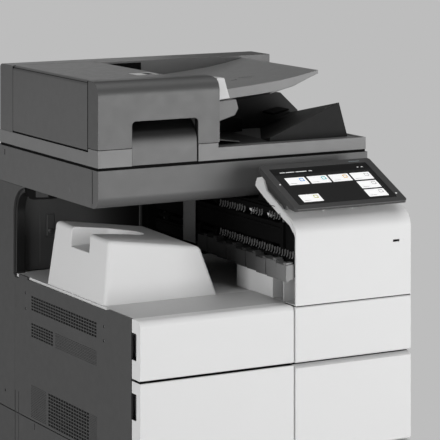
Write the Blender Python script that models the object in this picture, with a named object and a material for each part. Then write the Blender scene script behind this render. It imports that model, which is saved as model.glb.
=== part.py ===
"""Office photocopier: A3 colour multifunction machine on a one-drawer paper cabinet.

Metres, +Z up, front towards -Y, right side towards +X. Numbers are in a drawing
frame with x = 0 in the middle of the main casing, y = 0 in the middle of its
depth and z = 0 on the floor. piece() moves everything by SHIFT, which puts the
world origin at the centre of the footprint.
"""
import math

import bmesh
import bpy
from mathutils import Vector

for old in list(bpy.data.objects):
    bpy.data.objects.remove(old, do_unlink=True)

# ------------------------------------------------------------ shared dimensions
SHIFT = Vector((-0.0076, 0.0080, 0.0))
HALF_W = 0.3075          # half the casing width
GLASS_Z = 1.064          # nominal height of the document glass
TOP_Z = 1.239            # top of the document feeder
DOOR_Y = -0.344          # front face of the doors' left part
PROUD_Y = -0.348         # front face of the doors' right part and of the pillar
DOOR_BACK = -0.309       # rear edge of doors and drawer fronts
SIDE_Y = -0.306          # front edge of the side covers
SIDE_BACK = 0.3395       # rear edge of the side covers
BACK_Y = 0.344           # rear face of the machine
COVER_BOTTOM = 0.2850
COVER_TOP = 0.9866
WALL = 0.004             # cover thickness
CLEARANCE = 0.0004       # round shafts in their holes and inserts in their recesses
CUT_FRONT = -0.36        # y in front of every front face, where cutters start
SPLIT_X0, SPLIT_X1 = 0.0330, 0.0360   # vertical groove in the doors
SCAN_FRONT = -0.1607     # front face of scanner and feeder
LEDGE_Z = 0.799          # top of the upper door and of the ledge behind it
BOTTLE_X = (-0.21, -0.09, 0.03, 0.15)   # toner bottles, each above a drum
BOTTLE_Z = 0.745
DRUM_Z = 0.600
JOURNAL_R = 0.0050       # shaft ends of bottles, drums and castor axles
EXIT_X = 0.047           # exit roller axis
EXIT_ROLLERS = (("upper", 0.966), ("lower", 0.896))   # label, z
SMALL_SHAFT_R = 0.0040   # shafts of exit and feed rollers

# Room for the pillar's slope over the frame's front top edge, (y, z)
SLOPE_ROOM = [(-0.3100, 0.9675), (-0.3020, 0.9712), (-0.2690, 0.9865),
              (-0.2690, 0.9950), (-0.3100, 0.9950)]


# ------------------------------------------------------------ materials
def material(name, colour, rough, metal=0.0, alpha=1.0):
    result = bpy.data.materials.new(name)
    result.use_nodes = True
    shader = result.node_tree.nodes["Principled BSDF"]
    shader.inputs["Base Color"].default_value = (*colour, 1.0)
    shader.inputs["Roughness"].default_value = rough
    shader.inputs["Metallic"].default_value = metal
    shader.inputs["Alpha"].default_value = alpha
    return result


CABINET = material("cabinet_grey", colour=(0.075, 0.077, 0.080), rough=0.5)
TYRE = material("castor_rubber", colour=(0.02, 0.02, 0.021), rough=0.6)
FOOT = material("foot_steel", colour=(0.35, 0.35, 0.36), rough=0.35, metal=0.9)
STEEL = material("frame_steel", colour=(0.55, 0.56, 0.57), rough=0.4, metal=0.9)
DARK = material("cover_dark_grey", colour=(0.085, 0.087, 0.090), rough=0.5)
LIGHT = material("tray_off_white", colour=(0.72, 0.72, 0.71), rough=0.45)
WHITE = material("cover_white", colour=(0.80, 0.80, 0.80), rough=0.4)
CAVITY = material("wall_grey", colour=(0.06, 0.061, 0.063), rough=0.5)
BLACK = material("black_plastic", colour=(0.015, 0.015, 0.016), rough=0.4)
RUBBER = material("roller_rubber", colour=(0.55, 0.55, 0.54), rough=0.6)
PANEL = material("panel_dark", colour=(0.03, 0.031, 0.033), rough=0.4)
SCREEN = material("screen_glass", colour=(0.02, 0.02, 0.022), rough=0.1)
GLASS = material("platen_glass", colour=(0.80, 0.86, 0.84), rough=0.05, alpha=0.35)
PAD = material("pad_white", colour=(0.85, 0.85, 0.84), rough=0.7)
INNER = material("inner_grey", colour=(0.42, 0.43, 0.44), rough=0.5)
DRUM = material("drum_coating", colour=(0.05, 0.16, 0.13), rough=0.15)
LASER = material("laser_casing", colour=(0.10, 0.10, 0.11), rough=0.5)
BELT = material("belt_black", colour=(0.02, 0.02, 0.021), rough=0.25)
FUSER = material("fuser_rubber", colour=(0.30, 0.08, 0.05), rough=0.35)
TONER_COLOURS = {"yellow": (0.85, 0.70, 0.04), "magenta": (0.70, 0.04, 0.25),
                 "cyan": (0.02, 0.35, 0.65), "black": (0.03, 0.03, 0.03)}


# ------------------------------------------------------------ shape tools
def rounded(points, radii, steps=4):
    """Polygon with each corner i that is in radii replaced by an arc of radius radii[i]."""
    outline = []
    for i, point in enumerate(points):
        if i not in radii:
            outline.append(point)
            continue
        corner = Vector(point)
        before = (Vector(points[i - 1]) - corner).normalized()
        after = (Vector(points[(i + 1) % len(points)]) - corner).normalized()
        half = before.angle(after) / 2.0
        reach = radii[i] / math.tan(half)
        centre = corner + (before + after).normalized() * (radii[i] / math.sin(half))
        start = corner + before * reach - centre
        end = corner + after * reach - centre
        turn = start.angle_signed(end)
        for k in range(steps + 1):
            angle = -turn * k / steps
            cosine, sine = math.cos(angle), math.sin(angle)
            outline.append((centre.x + start.x * cosine - start.y * sine,
                            centre.y + start.x * sine + start.y * cosine))
    return outline


def arc(x, y, radius, start, end, steps):
    """Points on a circular arc about (x, y), angles in degrees."""
    angles = [math.radians(start + (end - start) * k / steps) for k in range(steps + 1)]
    return [(x + radius * math.cos(angle), y + radius * math.sin(angle)) for angle in angles]


def inset(rect, margin):
    """Shrink a plan rectangle (x0, x1, y0, y1) by a margin on every side."""
    x0, x1, y0, y1 = rect
    return (x0 + margin, x1 - margin, y0 + margin, y1 - margin)


def finish_mesh(build):
    bmesh.ops.remove_doubles(build, verts=build.verts, dist=1e-6)
    bmesh.ops.recalc_face_normals(build, faces=build.faces)
    mesh = bpy.data.meshes.new("shape")
    build.to_mesh(mesh)
    build.free()
    return mesh


def prism(profile, axis, low, high):
    """Extrude a polygon. axis 'x': profile is (y, z); 'y': (x, z); 'z': (x, y)."""
    build = bmesh.new()
    place = {"x": lambda p: (low, p[0], p[1]),
             "y": lambda p: (p[0], low, p[1]),
             "z": lambda p: (p[0], p[1], low)}[axis]
    face = build.faces.new([build.verts.new(place(point)) for point in profile])
    moved = bmesh.ops.extrude_face_region(build, geom=[face])["geom"]
    length = high - low
    step = {"x": (length, 0, 0), "y": (0, length, 0), "z": (0, 0, length)}[axis]
    bmesh.ops.translate(build, vec=step,
                        verts=[v for v in moved if isinstance(v, bmesh.types.BMVert)])
    return finish_mesh(build)


def box(x0, x1, y0, y1, z0, z1):
    return prism([(x0, y0), (x1, y0), (x1, y1), (x0, y1)], "z", z0, z1)


def loft(lower, upper):
    """Solid between two four-cornered loops of (x, y, z) points."""
    build = bmesh.new()
    low = [build.verts.new(point) for point in lower]
    high = [build.verts.new(point) for point in upper]
    build.faces.new(low[::-1])
    build.faces.new(high)
    for k in range(4):
        j = (k + 1) % 4
        build.faces.new((low[k], low[j], high[j], high[k]))
    return finish_mesh(build)


def turned(profile, axis, centre, steps):
    """Turn a (radius, along) profile about an axis through centre."""
    build = bmesh.new()
    x, y, z = centre
    rings = []
    for radius, along in profile:
        ring = []
        for k in range(steps):
            angle = 2 * math.pi * (k + 0.5) / steps - math.pi / 2
            across, up = radius * math.cos(angle), radius * math.sin(angle)
            ring.append(build.verts.new({"x": (x + along, y + across, z + up),
                                         "y": (x + across, y + along, z + up),
                                         "z": (x + across, y + up, z + along)}[axis]))
        rings.append(ring)
    for near, far in zip(rings, rings[1:]):
        for k in range(steps):
            j = (k + 1) % steps
            build.faces.new((near[k], near[j], far[j], far[k]))
    build.faces.new(rings[0])
    build.faces.new(rings[-1])
    return finish_mesh(build)


def rod(axis, centre, radius, low, high, steps=16):
    return turned([(radius, low), (radius, high)], axis, centre, steps)


def bore(x, z, shaft_radius, y0, y1):
    """Cutter along y for a shaft's running hole."""
    return rod("y", (x, 0, z), shaft_radius + CLEARANCE, y0, y1)


def combine(base, operation, others):
    """Boolean the other meshes into base, one after another."""
    scene = bpy.context.scene.collection
    for other in others:
        target = bpy.data.objects.new("target", base)
        tool = bpy.data.objects.new("tool", other)
        scene.objects.link(target)
        scene.objects.link(tool)
        modifier = target.modifiers.new("cut", "BOOLEAN")
        modifier.operation = operation
        modifier.solver = "EXACT"
        modifier.object = tool
        bpy.context.view_layer.update()
        graph = bpy.context.evaluated_depsgraph_get()
        base = bpy.data.meshes.new_from_object(target.evaluated_get(graph))
        bpy.data.objects.remove(target, do_unlink=True)
        bpy.data.objects.remove(tool, do_unlink=True)
    return base


def cut(base, *others):
    return combine(base, "DIFFERENCE", others)


def join(base, *others):
    return combine(base, "UNION", others)


def hollow_box(rect, z0, z1, skin, hollow_z0, hollow_z1):
    """Box with walls of thickness skin; the hollow runs out through top or bottom."""
    return cut(box(*rect, z0, z1), box(*inset(rect, skin), hollow_z0, hollow_z1))


def piece(name, mesh, mat, pivot=(0.0, 0.0, 0.0), smooth=False):
    """Make the named object, its origin on its joint axis (pivot)."""
    pivot = Vector(pivot)
    build = bmesh.new()
    build.from_mesh(mesh)
    bmesh.ops.remove_doubles(build, verts=build.verts, dist=1e-6)
    bmesh.ops.dissolve_limit(build, angle_limit=math.radians(0.05),
                             verts=build.verts, edges=build.edges)
    bmesh.ops.translate(build, vec=-pivot, verts=build.verts)
    final = bpy.data.meshes.new(name)
    build.to_mesh(final)
    build.free()
    if smooth:
        final.shade_smooth()
        final.set_sharp_from_angle(angle=math.radians(35))
    final.materials.append(mat)
    made = bpy.data.objects.new(name, final)
    made.location = pivot + SHIFT
    bpy.context.scene.collection.objects.link(made)


# ============================================================ paper cabinet
CABINET_BOTTOM, CABINET_TOP = 0.060, 0.2835
CABINET_BACK = 0.3435
CABINET_SKIN = 0.003
LIP_Y = -0.336           # front of the floor's lip
WHEEL_R = 0.0250
# label, x, y, z of the axle
CASTORS = (("front_left", -0.225, -0.225, 0.0260), ("front_right", 0.225, -0.225, 0.0260),
           ("rear_left", -0.225, 0.285, WHEEL_R), ("rear_right", 0.225, 0.285, WHEEL_R))


def castor_fork(x, y, z):
    """Two cheeks under a bridge, with the axle through them."""
    cheeks = cut(box(x - 0.0175, x + 0.0175, y - 0.013, y + 0.013, 0.0130, 0.0615),
                 box(x - 0.0140, x + 0.0140, y - 0.03, y + 0.03, 0.0, 0.0560))
    return join(cheeks, rod("x", (x, y, z), JOURNAL_R, -0.0160, 0.0160, 12))


shell = cut(box(-HALF_W, HALF_W, SIDE_Y, CABINET_BACK, CABINET_BOTTOM, CABINET_TOP),
            box(-HALF_W + CABINET_SKIN, HALF_W - CABINET_SKIN, -0.40,
                CABINET_BACK - CABINET_SKIN, CABINET_BOTTOM + CABINET_SKIN,
                CABINET_TOP - CABINET_SKIN))
floor_lip = box(-HALF_W, HALF_W, LIP_Y, SIDE_Y + 0.002, CABINET_BOTTOM, 0.0628)
lip_edge = box(-HALF_W, HALF_W, LIP_Y, LIP_Y + CABINET_SKIN, CABINET_BOTTOM, 0.0690)
shell = join(shell, floor_lip, lip_edge)
for _, x, y, z in CASTORS:
    shell = join(shell, castor_fork(x, y, z))
piece("cabinet_shell", shell, CABINET)

# Castor wheels: the flats between the rim's vertices lie at WHEEL_R
RIM_R = WHEEL_R / math.cos(math.pi / 24)
for label, *axle in CASTORS:
    wheel = turned([(0.0235, -0.0125), (RIM_R, -0.0110), (RIM_R, 0.0110), (0.0235, 0.0125)],
                   "x", axle, 24)
    wheel = cut(wheel, rod("x", axle, JOURNAL_R + CLEARANCE, -0.03, 0.03, 24))
    piece("castor_wheel_" + label, wheel, TYRE, axle, smooth=True)

# Levelling feet: (radius, z) from the pad up to the stem's top
FOOT_PROFILE = [(0.0170, 0.0), (0.0200, 0.0030), (0.0200, 0.0080), (0.0100, 0.0140),
                (0.0060, 0.0150), (0.0060, 0.0596)]
for label, x in (("left", -0.275), ("right", 0.275)):
    foot = turned(FOOT_PROFILE, "z", (x, -0.270, 0.0), 20)
    piece("levelling_foot_" + label, foot, FOOT, smooth=True)

# ============================================================ main frame
FRAME_W = 0.299          # half width
FRAME_FRONT, FRAME_BACK = -0.298, 0.304
FRAME_TOP = 0.986
SIDE_IN = 0.296          # inner face of the side sheets
DECK_Z = 0.5025          # middle of the deck over the drawers
PLATE_X = 0.0366         # left edge of the front plate's tall part

floor = box(-FRAME_W, FRAME_W, FRAME_FRONT, FRAME_BACK, 0.2845, 0.2865)
left_side = box(-FRAME_W, -SIDE_IN, FRAME_FRONT, FRAME_BACK, 0.2855, DECK_Z)
right_side = box(SIDE_IN, FRAME_W, FRAME_FRONT, FRAME_BACK, 0.2855, DECK_Z)
back_sheet = box(-FRAME_W, FRAME_W, FRAME_BACK - 0.002, FRAME_BACK, 0.2855, FRAME_TOP)
deck = box(-FRAME_W, FRAME_W, FRAME_FRONT, FRAME_BACK, DECK_Z - 0.001, DECK_Z + 0.001)
left_rail = box(-0.2965, -0.2840, -0.290, 0.303, 0.3958, 0.3992)
right_rail = box(0.2840, 0.2965, -0.290, 0.303, 0.3958, 0.3992)
front_plate = prism([(-FRAME_W, DECK_Z), (0.277, DECK_Z), (0.277, LEDGE_Z), (0.298, LEDGE_Z),
                     (0.298, FRAME_TOP), (PLATE_X, FRAME_TOP), (PLATE_X, 0.7885),
                     (-FRAME_W, 0.7885)], "y", FRAME_FRONT, FRAME_FRONT + 0.004)
upper_right_side = box(SIDE_IN, 0.298, -0.296, 0.303, LEDGE_Z, FRAME_TOP)
rear_left_post = box(-FRAME_W, -0.285, 0.285, 0.303, DECK_Z, FRAME_TOP)
frame = join(floor, left_side, right_side, back_sheet, deck, left_rail, right_rail,
             front_plate, upper_right_side, rear_left_post)
# Two windows in the front plate
frame = cut(frame, box(-0.285, 0.262, -0.31, -0.28, 0.512, 0.582),
            box(-0.285, 0.262, -0.31, -0.28, 0.618, 0.780))
for x in BOTTLE_X:
    frame = cut(frame, bore(x, BOTTLE_Z, JOURNAL_R, 0.29, 0.32),
                bore(x, DRUM_Z, JOURNAL_R, 0.29, 0.32),
                bore(x, DRUM_Z, JOURNAL_R, -0.31, -0.28))
for _, z in EXIT_ROLLERS:
    frame = cut(frame, bore(EXIT_X, z, SMALL_SHAFT_R, -0.31, -0.28))
frame = cut(frame, prism(SLOPE_ROOM, "x", 0.0300, 0.3050))
piece("main_frame", frame, STEEL)

# ============================================================ side and back covers
LEFT_SEAM = (0.5036, 0.5046)   # top of the lower cover, bottom of the upper one

# Vent slots, rows going down: count, first row below GLASS_Z, pitch, y0, y1
LEFT_SLOTS = ((4, 0.3055, 0.0073, -0.155, 0.158),
              (4, 0.3600, 0.0073, 0.045, 0.158),
              (8, 0.4900, 0.0082, -0.118, 0.084))
SLOT_H = 0.0050
slots = []
for count, drop, pitch, y0, y1 in LEFT_SLOTS:
    for k in range(count):
        z = GLASS_Z - drop - pitch * k
        slots.append(box(-0.32, -0.29, y0, y1, z - SLOT_H, z))
left_upper = box(-HALF_W, -HALF_W + WALL, SIDE_Y, 0.2440, LEFT_SEAM[1], LEDGE_Z)
piece("left_upper_cover", cut(left_upper, *slots), DARK)
piece("left_lower_cover",
      box(-HALF_W, -HALF_W + WALL, SIDE_Y, SIDE_BACK, COVER_BOTTOM, LEFT_SEAM[0]), DARK)

# Rear left column: its front edge curves back towards the front at the top
CURVE_Y, CURVE_Z, CURVE_R = 0.1940, 0.9260, 0.0584
column = prism([(0.2450, LEFT_SEAM[1]), (0.2450, 0.7975), (CURVE_Y + CURVE_R, 0.8000)]
               + arc(CURVE_Y, CURVE_Z, CURVE_R, 0, 80, 6)
               + [(0.1960, COVER_TOP), (SIDE_BACK, COVER_TOP), (SIDE_BACK, LEFT_SEAM[1])],
               "x", -HALF_W, -0.2795)
column = cut(column, prism([(CURVE_Y + CURVE_R + WALL, 0.49)]
                           + arc(CURVE_Y, CURVE_Z, CURVE_R + WALL, 0, 72, 6)
                           + [(0.2300, 1.0), (0.36, 1.0), (0.36, 0.49)],
                           "x", -HALF_W + WALL, -0.27))
piece("rear_left_column", column, DARK)

# Right cover, (y, z): cut away where the right door sits
RIGHT_OUTLINE = [(SIDE_Y, COVER_BOTTOM), (SIDE_BACK, COVER_BOTTOM), (SIDE_BACK, COVER_TOP),
                 (-0.3005, COVER_TOP), (-0.3005, 0.7985), (0.2115, 0.7985),
                 (0.2115, 0.5050), (SIDE_Y, 0.5036)]
right = prism(RIGHT_OUTLINE, "x", HALF_W - WALL, HALF_W)
piece("right_cover", cut(right, prism(SLOPE_ROOM, "x", 0.3000, 0.3100)), DARK)

# Rear cover: seven slots high on the left, seven low on the right
rear = box(-HALF_W, HALF_W, 0.3400, BACK_Y, COVER_BOTTOM, COVER_TOP)
slots = []
for k in range(7):
    z = 0.880 - 0.016 * k
    slots.append(box(-0.22, -0.04, 0.33, 0.35, z - 0.007, z))
    slots.append(box(0.06, 0.24, 0.33, 0.35, z - 0.307, z - 0.300))
piece("rear_cover", cut(rear, *slots), DARK)

# ============================================================ output cavity
CAVITY_FLOOR = 0.7985
cavity_wall = box(-0.2790, 0.2900, 0.2575, 0.2610, CAVITY_FLOOR, 0.9856)
for _, z in EXIT_ROLLERS:
    cavity_wall = cut(cavity_wall, bore(EXIT_X, z, SMALL_SHAFT_R, 0.25, 0.27))
piece("cavity_rear_wall", cavity_wall, CAVITY)


def wedge(margin, low):
    """Stacking wedge: a block whose top falls to the right and rises to the back."""
    left, front = -0.3000 + margin, -0.1735 + margin
    base = [(left, front), (-0.0436 - margin, front),
            (-0.0700 - margin, 0.1000 - margin), (left, 0.1000 - margin)]
    left, front = -0.2900 + margin, -0.1725 + margin
    crown = [(left, front), (-0.0826 - margin, front),
             (-0.1180 - margin, 0.0120 - margin), (left, 0.0640 - margin)]
    return loft([(x, y, low) for x, y in base],
                [(x, y, GLASS_Z - 0.138 - 0.1395 * (x + 0.2855) + 0.078 * (y + 0.174) - margin)
                 for x, y in crown])


# Output tray, with a hollow wedge and a recessed block on the wedge's left side
RECESS_OUTLINE = [(-0.1100, 0.9500), (-0.1100, 0.8945), (-0.0167, 0.8945), (-0.0167, 0.9500)]
tray_plate = box(-0.3025, 0.2780, -0.1736, 0.2446, 0.7905, 0.7970)
tray_rear = box(-0.2785, 0.2780, 0.2400, 0.2570, 0.7905, 0.7970)
tray = join(tray_plate, tray_rear, wedge(0.0, 0.7950))
tray = cut(tray, wedge(0.0035, 0.7800), prism(RECESS_OUTLINE, "x", -0.32, -0.2790))
tray = join(tray, box(-0.2925, -0.2780, -0.1140, -0.0127, 0.8860, 0.9290))
tray = cut(tray, prism(RECESS_OUTLINE, "x", -0.32, -0.2815))
piece("output_tray", tray, LIGHT)
piece("front_ledge", box(-0.3025, 0.0361, -0.3080, -0.1740, 0.7890, LEDGE_Z), WHITE)

BLOCK_TOP, BLOCK_SKIN = 0.8455, 0.003
piece("exit_guide_block",
      hollow_box((0.0368, 0.2000, -0.2545, -0.1070), 0.7975, BLOCK_TOP, BLOCK_SKIN,
                 0.7800, BLOCK_TOP - BLOCK_SKIN), LIGHT)

# Exit unit housing, open below, with a notch in its left side for each roller
UNIT_LEFT, UNIT_RIGHT = 0.0370, 0.2900
UNIT_FRONT, UNIT_BACK = -0.2930, 0.2565
UNIT_BOTTOM, UNIT_TOP = 0.8520, 0.9840
NOTCH_X, NOTCH_HALF = 0.0620, 0.014
outline = [(UNIT_LEFT, UNIT_TOP)]
for _, z in EXIT_ROLLERS:
    outline += [(UNIT_LEFT, z + NOTCH_HALF), (NOTCH_X, z + NOTCH_HALF),
                (NOTCH_X, z - NOTCH_HALF), (UNIT_LEFT, z - NOTCH_HALF)]
outline += [(UNIT_LEFT, 0.8640), (NOTCH_X, UNIT_BOTTOM), (UNIT_RIGHT, UNIT_BOTTOM),
            (UNIT_RIGHT, UNIT_TOP)]
unit = cut(prism(outline, "y", UNIT_FRONT, UNIT_BACK),
           box(0.0700, UNIT_RIGHT - WALL, UNIT_FRONT + WALL, UNIT_BACK - WALL,
               0.8400, UNIT_TOP - WALL),
           prism(SLOPE_ROOM, "x", 0.0300, 0.3050))
piece("exit_unit_housing", unit, BLACK)

# Exit rollers: a shaft with five tyres
TYRE_R, TYRE_LENGTH, TYRE_PITCH = 0.0120, 0.016, 0.090
roller_profile = [(SMALL_SHAFT_R, -0.2975)]
for k in range(5):
    y = -0.245 + TYRE_PITCH * k
    roller_profile += [(SMALL_SHAFT_R, y), (TYRE_R, y), (TYRE_R, y + TYRE_LENGTH),
                       (SMALL_SHAFT_R, y + TYRE_LENGTH)]
roller_profile.append((SMALL_SHAFT_R, 0.2600))
for label, z in EXIT_ROLLERS:
    axle = (EXIT_X, 0.0, z)
    piece("exit_roller_" + label, turned(roller_profile, "y", axle, 16), RUBBER,
          axle, smooth=True)

# ============================================================ front pillar
# Sections, (y, z)
PILLAR_OUTER = [(PROUD_Y, 0.7965), (PROUD_Y, 0.9575), (-0.2331, 1.0110), (-0.2180, 1.0370),
                (-0.1930, 1.0320), (-0.1860, 1.0160), (-0.1860, 0.9868), (-0.2700, 0.9868),
                (-0.3020, 0.9720), (-0.3020, 0.7965)]
PILLAR_HOLLOW = [(-0.3445, 0.70), (-0.3445, 0.9550), (-0.2312, 1.0068), (-0.2155, 1.0335),
                 (-0.1960, 1.0290), (-0.1895, 1.0145), (-0.1895, 0.95), (-0.28, 0.95),
                 (-0.28, 0.70)]
LEFT_END_OPENING = [(-0.3385, 0.70), (-0.3385, 0.9350), (-0.3148, 0.9527), (-0.2636, 0.9731),
                    (-0.2087, 0.9996), (-0.1910, 1.0120), (-0.1895, 0.96), (-0.1895, 0.70)]
PANEL_MOUNT = [(-0.3280, 0.9610), (-0.3280, 0.9850), (-0.3180, 0.9905), (-0.3080, 0.9850),
               (-0.3080, 0.9700)]
PILLAR_WALL = 0.0035
pillar = prism(rounded(PILLAR_OUTER, {1: 0.034, 2: 0.008, 3: 0.004, 4: 0.004}, 5),
               "x", SPLIT_X1, HALF_W)
pillar = cut(pillar,
             prism(rounded(PILLAR_HOLLOW, {1: 0.031}, 5),
                   "x", SPLIT_X1 + PILLAR_WALL, HALF_W - PILLAR_WALL),
             prism(LEFT_END_OPENING, "x", 0.02, SPLIT_X1 + 0.0050))
piece("pillar_cover", join(pillar, prism(PANEL_MOUNT, "x", 0.120, 0.190)), WHITE)

# ============================================================ operator panel
PANEL_PIVOT = (0.155, -0.3180, 0.9850)
PANEL_TILT = math.radians(24.8)
PANEL_LENGTH = 0.1642    # up the slope
WINDOW_X = (0.0440, 0.2760)
WINDOW_SLOPE = (0.0148, 0.1480)   # lower and upper edge, measured up the slope
WINDOW_FLOOR = -0.0016


def on_panel(along, out):
    """(y, z) of a point on the panel's section: up the slope, and out of its face."""
    cosine, sine = math.cos(PANEL_TILT), math.sin(PANEL_TILT)
    return (-0.3600 + along * cosine - out * sine, 0.9900 + along * sine + out * cosine)


panel = prism(rounded([on_panel(0, 0), on_panel(PANEL_LENGTH, 0),
                       on_panel(PANEL_LENGTH, -0.0060), on_panel(0.1500, -0.0120),
                       on_panel(0.0200, -0.0120), on_panel(0, -0.0065)],
                      {0: 0.0025, 1: 0.0025, 2: 0.002}, 3), "x", 0.0285, 0.2926)
low, high = WINDOW_SLOPE
panel = cut(panel, prism([on_panel(low, 0.01), on_panel(low, WINDOW_FLOOR),
                          on_panel(high, WINDOW_FLOOR), on_panel(high, 0.01)],
                         "x", *WINDOW_X))
# Hinge lugs, one either side of the pillar's mount
LUG_OUTLINE = rounded([(-0.3260, 0.9790), (-0.3260, 1.0020), (-0.3100, 1.0080),
                       (-0.3100, 0.9790)], {0: 0.006, 3: 0.006}, 3)
for x in (0.108, 0.192):
    panel = join(panel, prism(LUG_OUTLINE, "x", x, x + 0.010))
piece("operator_panel", panel, PANEL, PANEL_PIVOT)

low, high = low + CLEARANCE, high - CLEARANCE
screen = prism([on_panel(low, -0.0001), on_panel(low, -0.0013),
                on_panel(high, -0.0013), on_panel(high, -0.0001)],
               "x", WINDOW_X[0] + CLEARANCE, WINDOW_X[1] - CLEARANCE)
piece("touch_screen", screen, SCREEN, PANEL_PIVOT)

# ============================================================ scanner
HINGE_X = (-0.2350, 0.1950)       # left ends of the two rear hinges
LID_Y, LID_Z = 0.3355, 1.0750     # lid hinge axis
KNUCKLE_R = 0.0070
HINGE_PIN_R = 0.0028
GLASS_RECESS = (-0.2450, 0.2250, -0.1250, 0.2050)   # x0, x1, y0, y1
RECESS_FLOOR = 1.0603
SCAN_TOP = 1.0636
SCAN_OUTLINE = [(SCAN_FRONT, SCAN_TOP), (SCAN_FRONT, 1.0100), (-0.1585, 1.0000),
                (-0.1500, 0.9910), (-0.1376, 0.9872), (BACK_Y, 0.9872), (BACK_Y, SCAN_TOP)]
scanner = cut(prism(SCAN_OUTLINE, "x", -HALF_W, 0.3227),
              box(-0.2950, 0.3100, -0.1450, 0.2700, 0.9930, 1.0560),
              box(*inset(GLASS_RECESS, 0.010), 1.05, 1.07),
              box(*GLASS_RECESS, RECESS_FLOOR, 1.07))
for x in HINGE_X:
    # Boss and stem, with the pin that reaches into the lid's knuckle
    axis = (x, LID_Y, LID_Z)
    lug = join(rod("x", axis, KNUCKLE_R, 0.0, 0.0500),
               box(x, x + 0.050, LID_Y - 0.006, LID_Y + 0.006, 1.0600, LID_Z),
               rod("x", axis, HINGE_PIN_R, 0.0490, 0.0740, 12))
    scanner = join(scanner, lug)
piece("scanner_housing", scanner, DARK)
piece("platen_glass",
      box(*inset(GLASS_RECESS, CLEARANCE), RECESS_FLOOR + CLEARANCE, 1.0637), GLASS)
carriage = cut(box(-0.2850, -0.2450, -0.1380, 0.2600, 0.9940, 1.0400),
               box(-0.2800, -0.2500, -0.1300, 0.2520, 1.0300, 1.05))
piece("scan_carriage", carriage, BLACK, (-0.265, 0.061, 1.017))

# ============================================================ document feeder
LID_PIVOT = (0.0, LID_Y, LID_Z)
FEED_FRONT_BACK = -0.1140   # rear face of the front cover
FEED_BASE_BACK = 0.3250
PAD_RECESS = (-0.2350, 0.2150, -0.1200, 0.2000)     # x0, x1, y0, y1
PAD_RECESS_TOP = 1.0702
base = box(-HALF_W, 0.3187, SCAN_FRONT, FEED_BASE_BACK, 1.0662, 1.0940)
raised_left = box(-HALF_W, -0.0360, SCAN_FRONT, FEED_BASE_BACK, 1.0900, 1.0960)
front_step = box(-HALF_W, -0.0360, SCAN_FRONT, FEED_FRONT_BACK, 1.0900, 1.1040)
base = join(base, raised_left, front_step)
base = cut(base, box(*PAD_RECESS, 1.05, PAD_RECESS_TOP))
for x in HINGE_X:
    axis = (x, LID_Y, LID_Z)
    knuckle = join(rod("x", axis, KNUCKLE_R, 0.0510, 0.0740),
                   box(x + 0.0510, x + 0.0740, 0.3220, LID_Y,
                       LID_Z - KNUCKLE_R, LID_Z + KNUCKLE_R))
    pin_hole = rod("x", axis, HINGE_PIN_R + CLEARANCE, 0.0400, 0.0900, 12)
    base = join(base, cut(knuckle, pin_hole))
piece("adf_base", base, DARK, LID_PIVOT)
piece("platen_pad", box(*inset(PAD_RECESS, 0.0005), 1.0648, PAD_RECESS_TOP - CLEARANCE),
      PAD, LID_PIVOT)

# Front cover: hollow, with a slot low in its front face
FEED_X, FEED_Z = -0.1650, 1.1920   # feed roller axis
FRONT_BOTTOM, FRONT_RIGHT = 1.1044, -0.0330
SLOT_OUTLINE = [(-0.18, 1.1580), (-0.1370, 1.1580), (-0.1575, FRONT_BOTTOM), (-0.1575, 1.09),
                (-0.18, 1.09)]
front = prism(rounded([(SCAN_FRONT, FRONT_BOTTOM), (SCAN_FRONT, TOP_Z),
                       (FEED_FRONT_BACK, TOP_Z), (FEED_FRONT_BACK, FRONT_BOTTOM)],
                      {1: 0.030}, 6), "x", -HALF_W, FRONT_RIGHT)
front = cut(front,
            box(-HALF_W + WALL, FRONT_RIGHT - WALL, -0.1330, FEED_FRONT_BACK - WALL,
                1.09, TOP_Z - WALL),
            prism(SLOT_OUTLINE, "x", -0.2325, -0.0806),
            bore(FEED_X, FEED_Z, SMALL_SHAFT_R, -0.125, -0.10))
piece("adf_front_cover", front, DARK, LID_PIVOT)


def rear_section(y0, y1, z0, z1, radius):
    """(y, z) rectangle with its upper rear corner rounded."""
    return rounded([(y0, z0), (y0, z1), (y1, z1), (y1, z0)], {2: radius})


# Rear cover: its right part reaches further forward
REAR_Y0, REAR_Y1, REAR_RIGHT = 0.2560, 0.3270, 0.3090
back = join(prism(rear_section(REAR_Y0, REAR_Y1, 1.0965, TOP_Z, 0.018),
                  "x", -HALF_W, -0.1180),
            prism(rear_section(0.2260, REAR_Y1, 1.0965, TOP_Z, 0.018),
                  "x", -0.1190, REAR_RIGHT))
back = cut(back,
           prism(rear_section(REAR_Y0 + WALL, REAR_Y1 - 0.0035, 1.08, TOP_Z - 0.0035, 0.0145),
                 "x", -HALF_W + WALL, REAR_RIGHT - WALL),
           bore(FEED_X, FEED_Z, SMALL_SHAFT_R, 0.25, 0.27))
piece("adf_rear_cover", back, DARK, LID_PIVOT)

# Feed cover, (x, z): a thin left side and top that open about the lower left edge
CORNER_R = 0.0120
feed_cover = prism([(-HALF_W, 1.1012), (-0.3050, 1.0985), (-HALF_W + WALL, 1.0985),
                    (-HALF_W + WALL, 1.2300), (-0.2985, TOP_Z - WALL),
                    (-0.1215, TOP_Z - WALL), (-0.1215, TOP_Z)]
                   + arc(-HALF_W + CORNER_R, TOP_Z - CORNER_R, CORNER_R, 90, 180, 4),
                   "y", -0.1130, 0.2552)
piece("adf_feed_cover", feed_cover, DARK, (-0.3045, 0.0712, 1.1015))

FEED_AXLE = (FEED_X, 0.0, FEED_Z)
feed_profile = [(SMALL_SHAFT_R, -0.1172), (SMALL_SHAFT_R, -0.1050), (0.0160, -0.1050),
                (0.0160, 0.2450), (SMALL_SHAFT_R, 0.2450), (SMALL_SHAFT_R, 0.2592)]
piece("adf_feed_roller", turned(feed_profile, "y", FEED_AXLE, 20), RUBBER,
      FEED_AXLE, smooth=True)

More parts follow.
